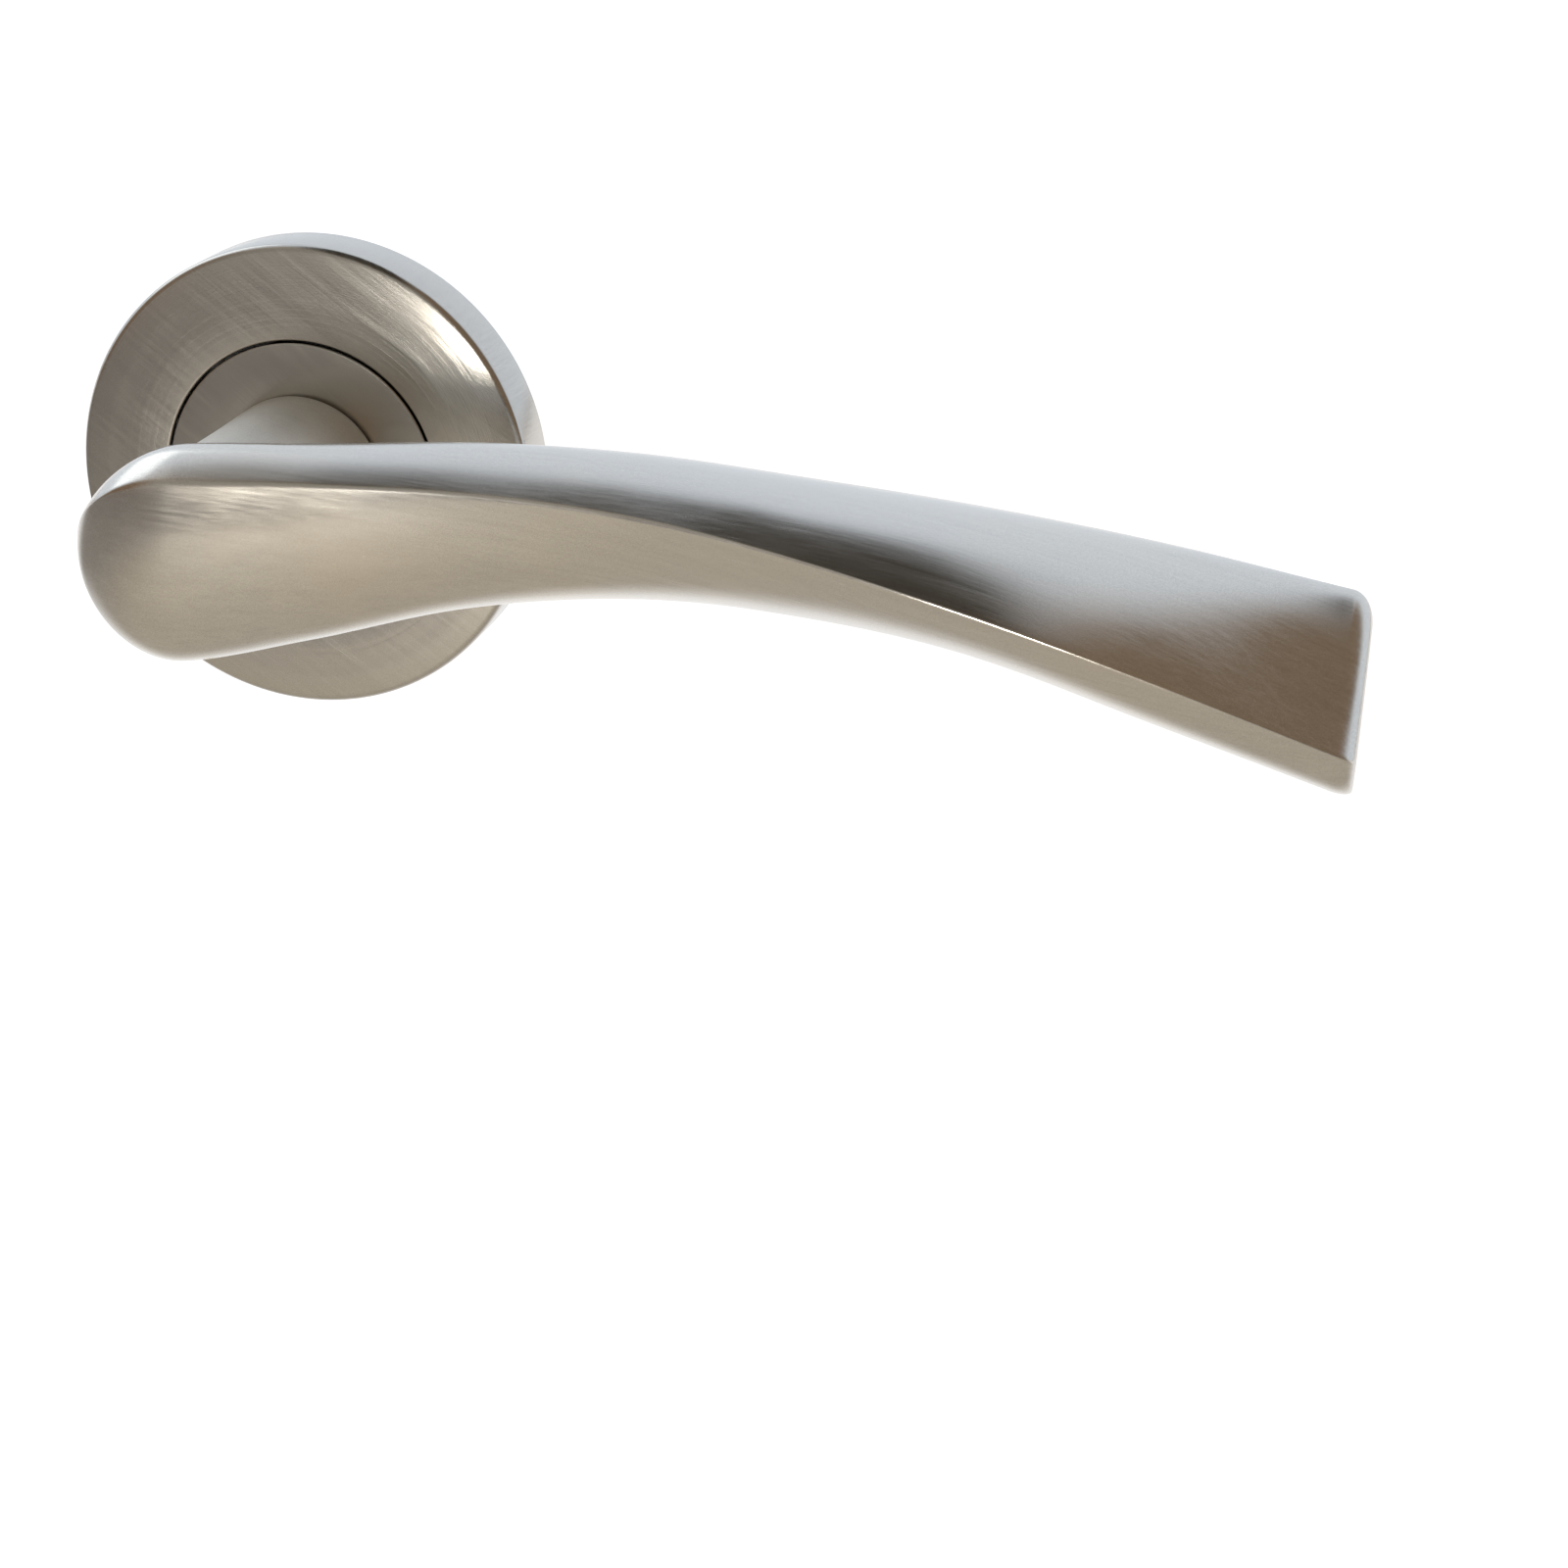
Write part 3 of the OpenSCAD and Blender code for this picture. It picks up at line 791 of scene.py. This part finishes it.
def neck_rings(z, rose):
    """The neck's rings from the journal's end to the flare that sits in the grip."""
    journal, neck = z.journal_diameter / 2, z.neck_diameter / 2
    shoulder, top = rose.thickness + 0.3, z.projection - 8.5
    rows = []
    for r, d in ((journal - 0.4, -0.9), (journal - 0.12, -0.78), (journal, -0.5),
                 (journal, 0.28), (journal - 0.4, 0.3), (journal - 0.4, 1.3),
                 (journal, 1.32), (journal, shoulder - 0.02), (journal, shoulder),
                 (neck - 0.35, shoulder), (neck - 0.17, shoulder + 0.05),
                 (neck - 0.05, shoulder + 0.17), (neck, shoulder + 0.35),
                 (neck, 11.0)):
        rows.append((0.0, 0.0, r, r, d))
    for i in range(1, 61):
        s = 100 * i / 60
        fade = min(1.0, i / 10)
        cx, cy = track(NECK, s, 1), track(NECK, s, 2)
        kx, ky = track(NECK, s, 3), track(NECK, s, 4)
        rows.append((cx, cy, neck * mix(1.0, kx, fade), neck * mix(1.0, ky, fade),
                     mix(11.0, top, i / 60)))
    return [[(cx + rx * math.cos(2 * math.pi * j / 192),
               cy + ry * math.sin(2 * math.pi * j / 192), d) for j in range(192)]
             for cx, cy, rx, ry, d in rows]


class HANDLE_OT_grip(bpy.types.Operator):
    """The twisted lever: a flat front and a rolled top that meet in one crease"""
    bl_idname = "handle.grip"
    bl_label = "Lever grip"

    def execute(self, context):
        z, rose = context.scene.handle_lever, context.scene.handle_rose
        grip = loft("grip_casting", lever_rings(z))
        # the pocket the neck's end is pressed into
        pocket = loft("neck_pocket", neck_rings(z, rose))
        hole = post("stud_hole", 0, 0, z.projection - 20.5, z.projection - 4.5, 3.0)
        placed(fused(grip, [pocket, hole], "DIFFERENCE"), "lever", "satin_nickel_lever",
               "lever_grip", smooth=50.0)
        return {"FINISHED"}


class HANDLE_OT_neck(bpy.types.Operator):
    """The neck: journal with its clip groove, shoulder, shank and the flare to the lever"""
    bl_idname = "handle.neck"
    bl_label = "Lever neck"

    def execute(self, context):
        z, rose = context.scene.handle_lever, context.scene.handle_rose
        neck = z.neck_diameter / 2
        top = z.projection - 8.5
        body = loft("neck_casting", neck_rings(z, rose))
        side = (z.spindle_side + 0.1) / 2
        socket = bar("square_hole", (-side, -side, -2), (side, side, z.projection - 21))
        stud = post("stud_hole", 0, 0, z.projection - 19, top + 1, 3.0)
        grub = post("grub_hole", 0, 0, 0, neck + 2, 2.5)
        moved(grub, 0, 0, 20, Matrix.Rotation(math.radians(90), 4, "X"))
        placed(fused(body, [socket, stud, grub], "DIFFERENCE"), "lever",
               "satin_nickel_neck", "lever_neck", smooth=40.0)
        return {"FINISHED"}


class HANDLE_OT_rose(bpy.types.Operator):
    """The round cover, its rubber grip ring and the centre disc"""
    bl_idname = "handle.rose"
    bl_label = "Rose"

    def execute(self, context):
        z = context.scene.handle_rose
        r, t, hole = z.diameter / 2, z.thickness, z.opening / 2
        inside = t - z.wall
        # the pressing's face is crowned a little, highest at the opening
        cover = lathe("cover_pressing", [
            (r, 0, 0.12), (r, t - 0.62, z.edge), (r - 3.2, t - 0.27, 6.0),
            (r - 6.5, t - 0.06, 6.0), (hole, t, 0.28), (hole, inside, 0.06),
            (r - z.wall, inside, 0.3), (r - z.wall, 0, 0.12)], 320)
        placed(cover, "rose", "satin_nickel_rose", "rose_cover")
        disc = lathe("centre_plate", [
            (9.0, inside, 0.05), (hole - 0.25, inside, 0.05), (hole - 0.25, t, 0.22),
            (9.0, t, 0.1)], 256)
        holes = []
        for turn in (109, 289):
            a = math.radians(turn)
            holes.append(post("rivet_hole", 12.425 * math.cos(a), 12.425 * math.sin(a),
                              inside - 1, inside + 0.4, 0.8, 32))
        placed(fused(disc, holes, "DIFFERENCE"), "rose", "satin_nickel_disc", "inner_disc")
        ring = []
        for k in range(24):
            a = 2 * math.pi * k / 24
            ring.append((r - z.wall - 0.5 + 0.49 * math.cos(a), 0.9 + 0.49 * math.sin(a), 0))
        placed(lathe("rubber_ring", ring, 192), "rose", "black_rubber", "cover_grip_ring")
        return {"FINISHED"}


class HANDLE_OT_bushes(bpy.types.Operator):
    """The two flanged bushes that the journal turns in"""
    bl_idname = "handle.bushes"
    bl_label = "Bushes"

    def execute(self, context):
        z = context.scene.handle_rose
        journal = context.scene.handle_lever.journal_diameter / 2
        inside, bore = z.thickness - z.wall, journal + 0.05
        front = lathe("front_bearing", [
            (bore, inside - 0.5, 0.08), (journal + 2.4, inside - 0.5, 0.08),
            (journal + 2.4, inside, 0.08), (bore + 0.95, inside, 0),
            (bore + 0.95, z.thickness, 0.1), (bore, z.thickness, 0.12)], 160)
        placed(front, "rose", "nylon", "front_bush")
        rear = lathe("rear_bearing", [
            (bore, 2.2, 0.08), (bore + 0.55, 2.2, 0.08), (bore + 0.55, 3.2, 0),
            (journal + 1.1, 3.2, 0.08), (journal + 1.1, 3.7, 0.08), (bore, 3.7, 0.08)], 160)
        placed(rear, "rose", "nylon", "rear_bush")
        return {"FINISHED"}


class HANDLE_OT_plate(bpy.types.Operator):
    """The steel plate behind the cover, with every hole that is drilled in it"""
    bl_idname = "handle.plate"
    bl_label = "Mounting plate"

    def execute(self, context):
        z = context.scene.handle_rose
        journal = context.scene.handle_lever.journal_diameter / 2
        rim = z.diameter / 2 - z.wall - 0.3
        groove, half = z.diameter / 2 - z.wall - 1.0, z.fixing_centres / 2
        plate = lathe("back_plate", [
            (journal + 3.2, 0, 0.1), (rim, 0, 0.1), (rim, 0.4, 0), (groove, 0.4, 0),
            (groove, 1.4, 0), (rim, 1.4, 0), (rim, 1.8, 0.1), (z.opening / 2 - 1, 1.8, 0.15),
            (z.opening / 2 - 1, 3.2, 0.15), (journal + 0.6, 3.2, 0), (journal + 0.6, 2.2, 0.08),
            (journal + 3.2, 2.2, 0.15)], 256)
        cutters = []
        for side in (-1, 1):
            cutters.append(post("lug_hole", side * half, 0, -1, 2.8, 3.7, 96))
            cutters.append(post("screw_hole", 0, side * half, -1, 0.3, 1.85, 64))
            cutters.append(post("countersink", 0, side * half, 0.2, 1.81, 1.85, 64, 3.5))
            a = math.radians(109 if side > 0 else 289)
            x, up = 12.425 * math.cos(a), 12.425 * math.sin(a)
            cutters.append(post("rivet_hole", x, up, 0.4, 4, 0.8, 32))
            cutters.append(post("rivet_recess", x, up, -1, 0.6, 1.3, 48))
            cutters.append(post("pin_hole", side * (journal + 2), 0, 1, 4, 0.75, 32))
        placed(softened(fused(plate, cutters, "DIFFERENCE"), 0.08, 40.0), "rose",
               "zinc_steel", "mounting_plate")
        return {"FINISHED"}


class HANDLE_OT_cassette(bpy.types.Operator):
    """The spring cage and the follower that squeezes the springs"""
    bl_idname = "handle.cassette"
    bl_label = "Spring cassette"

    def execute(self, context):
        placed(packed_copy("cassette_cage", "spring_cage", 0.08), "rose", "cast_zinc",
               "cassette_cage")
        placed(packed_copy("cam_follower", "spring_follower", 0.1), "lever", "cast_zinc",
               "cam_follower")
        return {"FINISHED"}


class HANDLE_OT_springs(bpy.types.Operator):
    """Two compression springs bent round the journal"""
    bl_idname = "handle.springs"
    bl_label = "Return springs"

    def execute(self, context):
        z = context.scene.handle_spring
        tree, ids = coil_tree(FINISHES["spring_steel"])
        spring = bpy.data.objects.new("bent_springs", bpy.data.meshes.new("bent_springs"))
        context.scene.collection.objects.link(spring)
        nodes = spring.modifiers.new("coil", "NODES")
        nodes.node_group = tree
        sizes = {"Turns": float(z.turns), "Path radius": z.middle * MM,
                 "Coil radius": z.coil * MM, "Wire radius": z.wire * MM / 2,
                 "Start": math.radians(-63.5), "End": math.radians(79.5),
                 "Off door": 5.2 * MM}
        for key, value in sizes.items():
            nodes[ids[key]] = value
        settled(spring)
        work = bmesh.new()
        work.from_mesh(spring.data)
        bmesh.ops.remove_doubles(work, verts=work.verts, dist=1e-8)
        bmesh.ops.recalc_face_normals(work, faces=work.faces)
        work.to_mesh(spring.data)
        work.free()
        # in use each coil is squeezed from the arm's end while its other end stays in the cage
        across = spring.copy()
        across.data = spring.data.copy()
        across.name = "bent_springs_across"
        context.scene.collection.objects.link(across)
        moved(across, 0, 0, 0, Matrix.Rotation(math.pi, 4, "Y"))
        for coil, way in ((spring, 1), (across, -1)):
            placed(coil, None, "spring_steel", "return_springs", smooth=60.0)
            at(0, -0.75 * z.middle * way, 5.2)
            at(0, 0.93 * z.middle * way, 5.2)
            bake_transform(coil)
        return {"FINISHED"}


class HANDLE_OT_fixings(bpy.types.Operator):
    """Threaded lugs, wood screws, cage rivets and stop pins, each a pair"""
    bl_idname = "handle.fixings"
    bl_label = "Fixings in pairs"

    def execute(self, context):
        z = context.scene.handle_rose
        half = z.fixing_centres / 2
        teeth = []
        for k in range(26):
            teeth.append((1.66 if k % 2 else 1.9, 2.5 - 10.2 * k / 25, 0))
        lug = lathe("threaded_lug", [
            (1.95, 2.8, 0.05), *teeth, (1.95, -8, 0.05), (3.5, -8, 0.3), (3.5, 0, 0),
            (3.7, 0, 0.05), (3.7, 1.8, 0), (4.2, 1.8, 0.05), (4.2, 2.8, 0.25)], 96)
        moved(lug, half, 0, 0)
        placed(paired(lug, "zinc_steel"), "rose", "zinc_steel", "threaded_lugs")

        screw = threaded("wood_screw", 17.6, 1.15, 1.75, 1.6, 0.0, 4.0, 3.0, 40)
        moved(screw, 0, 0, -18.2)
        head = lathe("screw_head", [(0, -0.9, 0), (1.15, -0.9, 0), (1.75, 0.2, 0.1),
                                    (3.4, 1.62, 0.08), (3.4, 1.8, 0.06), (0, 1.8, 0)], 96)
        screw = fused(screw, [head], "UNION")
        cross = [bar("slot", (-2, -0.4, 0.7), (2, 0.4, 3), turn) for turn in (0, 90)]
        screw = fused(screw, cross, "DIFFERENCE")
        moved(screw, 0, half, 0)
        placed(paired(screw, "yellow_zinc"), "rose", "yellow_zinc", "wood_screws")

        rivet = lathe("cage_rivet", [
            (0, 0.1, 0), (1.3, 0.1, 0.2), (1.3, 0.6, 0.05), (0.8, 0.6, 0), (0.8, 7.6, 0.12),
            (0, 7.6, 0)], 64)
        a = math.radians(109)
        moved(rivet, 12.425 * math.cos(a), 12.425 * math.sin(a), 0)
        placed(paired(rivet, "bright_steel"), "rose", "bright_steel", "cage_rivets")

        pin = lathe("stop_pin", [(0, 2.2, 0), (0.75, 2.2, 0.1), (0.75, 6.5, 0.15),
                                 (0, 6.5, 0)], 48)
        moved(pin, 10, 0, 0)
        placed(paired(pin, "bright_steel"), "rose", "bright_steel", "stop_pins")
        return {"FINISHED"}


class HANDLE_OT_retainers(bpy.types.Operator):
    """The wave washer and the circlip that hold the journal in"""
    bl_idname = "handle.retainers"
    bl_label = "Retainers"

    def execute(self, context):
        journal = context.scene.handle_lever.journal_diameter / 2
        rows = []
        for r, rise in ((journal + 0.2, 0), (journal + 2, 0), (journal + 2, 0.3),
                        (journal + 0.2, 0.3), (journal + 0.2, 0)):
            rows.append([at(r * math.cos(2 * math.pi * j / 144),
                            r * math.sin(2 * math.pi * j / 144),
                            1.45 + rise + 0.14 * math.cos(6 * math.pi * j / 144))
                         for j in range(144)])
        wave = softened(closed("wave_spring", *grid(rows)), 0.04, 50.0)
        placed(wave, "lever", "spring_steel", "wave_washer")

        clip = lathe("open_clip", [
            (journal - 0.4, 0.3, 0), (journal + 1.8, 0.3, 0), (journal + 1.8, 1.3, 0),
            (journal - 0.4, 1.3, 0)], 160)
        ears = [post("ear", s * 2.6, journal + 0.9, 0.3, 1.3, 1.5, 48) for s in (-1, 1)]
        clip = fused(clip, ears, "UNION")
        cuts = [post("ear_hole", s * 2.6, journal + 1.1, -1, 3, 0.6, 32) for s in (-1, 1)]
        cuts.append(bar("mouth", (-1.4, journal - 3, -1), (1.4, journal + 5, 3)))
        cuts.append(post("bore", 0, 0, -1, 3, journal - 0.4, 160))
        clip = softened(fused(clip, cuts, "DIFFERENCE"), 0.07, 40.0)
        placed(clip, "lever", "black_spring_steel", "circlip")
        return {"FINISHED"}


class HANDLE_OT_drive(bpy.types.Operator):
    """The square spindle, the grub screw that grips it and the stud inside the joint"""
    bl_idname = "handle.drive"
    bl_label = "Drive"

    def execute(self, context):
        z = context.scene.handle_lever
        side, far, near = z.spindle_side / 2, -30.0, z.projection - 21.5
        rows = []
        for d, trim in ((far, 1.2), (far + 0.6, 1.35), (far + 1.2, 1.45), (near - 1.2, 1.45),
                        (near - 0.6, 1.35), (near, 1.2)):
            ring = []
            for j in range(128):
                a = 2 * math.pi * j / 128
                c, s = math.cos(a), math.sin(a)
                square = (abs(c) ** 24 + abs(s) ** 24) ** (-1 / 24)
                r = min(side * square * 1.0, side * trim)
                r = min(r, side / max(abs(c), abs(s)))
                ring.append((r * c, r * s, d))
            rows.append(ring)
        placed(softened(loft("square_bar", rows), 0.12, 40.0), "lever", "spindle_steel",
               "spindle", smooth=30.0)

        reach_out = z.neck_diameter / 2 - side - 0.6
        grub = threaded("socket_grub", reach_out, 2.2, 2.48, 0.8, 0.35, around=48)
        key = [(1.45 * math.cos(math.radians(60 * k)), 1.45 * math.sin(math.radians(60 * k)))
               for k in range(6)]
        hexagon = loft("hexagon", [[(x, y, 3.0) for x, y in key], [(x, y, 8.0) for x, y in key]])
        grub = fused(grub, [hexagon], "DIFFERENCE")
        moved(grub, 0, -side, 20, Matrix.Rotation(math.radians(90), 4, "X"))
        placed(grub, "lever", "black_steel", "grub_screw")

        stud = lathe("joint_pin", [(0, z.projection - 19, 0), (3, z.projection - 19, 0.3),
                                   (3, z.projection - 4.5, 0.3), (0, z.projection - 4.5, 0)], 96)
        placed(stud, "lever", "bright_steel", "joint_stud")
        return {"FINISHED"}


class HANDLE_OT_stage(bpy.types.Operator):
    """A wide pale floor that glows with painted light, soft studio lights and the camera"""
    bl_idname = "handle.stage"
    bl_label = "Stage"

    def execute(self, context):
        scene = context.scene
        m = Metal("pale_floor")
        away = m.split()[1]
        speck = m.noise(m.place, 40.0, 3.0, 0.5)
        pale = m.mix(speck, (0.52, 0.49, 0.45, 1), (0.55, 0.52, 0.48, 1))
        # painted light: the floor glows, black from 1.2 m in front of the door and brightening to
        # near white behind it, so the metal reflects a dark front and the floor behind shows white
        painted_floor_glow = m.node("ShaderNodeValToRGB", {"stops": (
            (0.0, (0.0, 0.0, 0.0, 1)), (0.30, (0.02, 0.018, 0.012, 1)),
            (0.55, (0.20, 0.165, 0.105, 1)), (0.80, (0.22, 0.19, 0.14, 1)),
            (0.92, (0.84, 0.85, 0.87, 1)))}, {0: away.spread(-1.2, 0.3, 0.0, 1.0)})
        # painted shade: on the floor's left, short of 0.6 m behind the door, its glow is dimmed to
        # almost nothing
        leftward = m.split()[0].spread(-0.6, -0.2, 1.0, 0.0) * away.spread(0.25, 0.6, 1.0, 0.0)
        painted_floor_glow = m.mix(leftward, painted_floor_glow, (0.02, 0.012, 0.006, 1))
        pale_floor = m.finish(Base_Color=pale, Roughness=0.9, Emission_Color=painted_floor_glow,
                              Emission_Strength=1.0)
        ring = [(9.0 * math.cos(math.radians(a)), 9.0 * math.sin(math.radians(a)), -0.3)
                for a in range(0, 360, 6)]
        mesh = bpy.data.meshes.new("floor")
        mesh.from_pydata(ring, [], [tuple(range(len(ring)))])
        mesh.materials.append(pale_floor)
        floor = bpy.data.objects.new("floor", mesh)
        scene.collection.objects.link(floor)

        self.lights(scene)
        self.camera(scene)
        return {"FINISHED"}

    def lights(self, scene):
        world = bpy.data.worlds.new("studio")
        world.use_nodes = True
        world.node_tree.nodes.clear()
        t = Tree(world.node_tree)
        ray = t.node("ShaderNodeTexCoord", out="Generated")
        parts = t.node("ShaderNodeSeparateXYZ", values={"Vector": ray}, raw=True)
        side, away, up = (Sock(t, parts.outputs[i]) for i in range(3))
        # how far round from straight ahead, over the top, to the back: -1 to 1
        over = up.maths("ARCTAN2", up, away * -1.0) / math.pi

        def blend(factor, a, b):
            return t.node("ShaderNodeMix", {"data_type": "RGBA"},
                          {0: factor, 6: a, 7: b}, out=2)

        room = t.node("ShaderNodeValToRGB", {"stops": (
            (0.0, (0.92, 0.97, 1.0, 1)), (0.49, (0.40, 0.37, 0.33, 1)),
            (0.51, (0.36, 0.34, 0.31, 1)), (0.61, (0.32, 0.30, 0.27, 1)),
            (0.70, (0.42, 0.38, 0.33, 1)), (0.78, (0.80, 0.86, 0.95, 1)),
            (0.86, (0.80, 0.87, 0.97, 1)), (1.0, (0.78, 0.84, 0.92, 1)))},
            {0: over.spread(-1.0, 1.0, 0.0, 1.0)})
        tipward = side.spread(0.16, 0.36, 0.0, 1.0) * over.spread(0.60, 0.72, 1.0, 0.0)
        room = blend(tipward, room, (0.22, 0.16, 0.11, 1))
        leftward = side.spread(-0.80, -0.50, 1.0, 0.0) * over.spread(0.35, 0.55, 1.0, 0.0)
        room = blend(leftward, room, (0.22, 0.15, 0.10, 1))
        # a dark panel overhead gives the lever's top its deep shadow
        high = (over + side.maths("MAXIMUM", side, 0.0) * 0.1 - 0.48) / 0.235
        wide = (side + 0.04) / 0.33
        panel = (high * high + wide * wide).spread(0.82, 1.12, 1.0, 0.0)
        room = blend(panel, room, (0.05, 0.043, 0.033, 1))
        glow = t.node("ShaderNodeBackground", values={"Color": room, "Strength": 1.12})
        t.node("ShaderNodeOutputWorld", values={"Surface": glow}, raw=True)
        scene.world = world
        # name, place, aim, width, height, watts, colour
        for name, place, aim, wide, high, power, colour in (
                ("front_right", (0.10, -0.92, -0.03), (0.0, 0.0, 0.0), 0.24, 0.24, 4.2,
                 (1.0, 0.96, 0.88)),
                ("upper_left", (-0.75, 0.40, 0.60), (0.0, -0.03, 0.0), 0.6, 0.6, 1.0,
                 (0.94, 0.98, 1.0))):
            data = bpy.data.lights.new(name, "AREA")
            data.shape, data.size, data.size_y = "RECTANGLE", wide, high
            data.energy, data.color = power, colour
            lamp = bpy.data.objects.new(name, data)
            lamp.location = place
            lamp.rotation_euler = (Vector(aim) - Vector(place)).to_track_quat("-Z", "Y").to_euler()
            scene.collection.objects.link(lamp)
        scene.view_settings.view_transform = "Standard"

    def camera(self, scene):
        turn, lift, roll = math.radians(11.3), math.radians(20.8), math.radians(4.06)
        back = Vector((math.sin(turn) * math.cos(lift), -math.cos(turn) * math.cos(lift),
                       math.sin(lift)))
        right = Vector((math.cos(turn), math.sin(turn), 0.0))
        up = back.cross(right)
        across = right * math.cos(roll) + up * math.sin(roll)
        upward = up * math.cos(roll) - right * math.sin(roll)
        place = (back * 386.23 + across * 51.55 - upward * 36.25) * MM
        data = bpy.data.cameras.new("view_camera")
        data.lens, data.sensor_width, data.sensor_fit = 78.75, 36.0, "HORIZONTAL"
        data.clip_start, data.clip_end = 0.01, 50.0
        camera = bpy.data.objects.new("view_camera", data)
        camera.matrix_world = Matrix((across, upward, back)).transposed().to_4x4()
        camera.location = place
        scene.collection.objects.link(camera)
        scene.camera = camera


class HANDLE_PT_sidebar(bpy.types.Panel):
    """The handle's sizes and its pieces"""
    bl_idname = "HANDLE_PT_sidebar"
    bl_label = "Lever handle"
    bl_space_type = "VIEW_3D"
    bl_region_type = "UI"
    bl_category = "Lever handle"

    def draw(self, context):
        column = self.layout.column(align=True)
        for group in ("handle_lever", "handle_rose", "handle_spring", "handle_finish"):
            held = getattr(context.scene, group)
            for key in held.bl_rna.properties.keys():
                if key not in ("rna_type", "name"):
                    column.prop(held, key)
        for operator in OPERATORS:
            column.operator(operator.bl_idname)


GROUPS = {"handle_lever": LeverSizes, "handle_rose": RoseSizes,
          "handle_spring": SpringSizes, "handle_finish": Finish}
OPERATORS = (HANDLE_OT_finishes, HANDLE_OT_rose, HANDLE_OT_bushes, HANDLE_OT_plate,
             HANDLE_OT_cassette, HANDLE_OT_springs, HANDLE_OT_fixings, HANDLE_OT_retainers,
             HANDLE_OT_neck, HANDLE_OT_grip, HANDLE_OT_drive, HANDLE_OT_stage)


def register():
    for group in GROUPS.values():
        bpy.utils.register_class(group)
    for name, group in GROUPS.items():
        setattr(bpy.types.Scene, name, bpy.props.PointerProperty(type=group))
    for operator in OPERATORS:
        bpy.utils.register_class(operator)
    bpy.utils.register_class(HANDLE_PT_sidebar)


def unregister():
    bpy.utils.unregister_class(HANDLE_PT_sidebar)
    for operator in reversed(OPERATORS):
        bpy.utils.unregister_class(operator)
    for name, group in reversed(GROUPS.items()):
        delattr(bpy.types.Scene, name)
        bpy.utils.unregister_class(group)


def main():
    register()
    for operator in OPERATORS:
        group, name = operator.bl_idname.split(".")
        getattr(getattr(bpy.ops, group), name)()


if __name__ == "__main__":
    main()
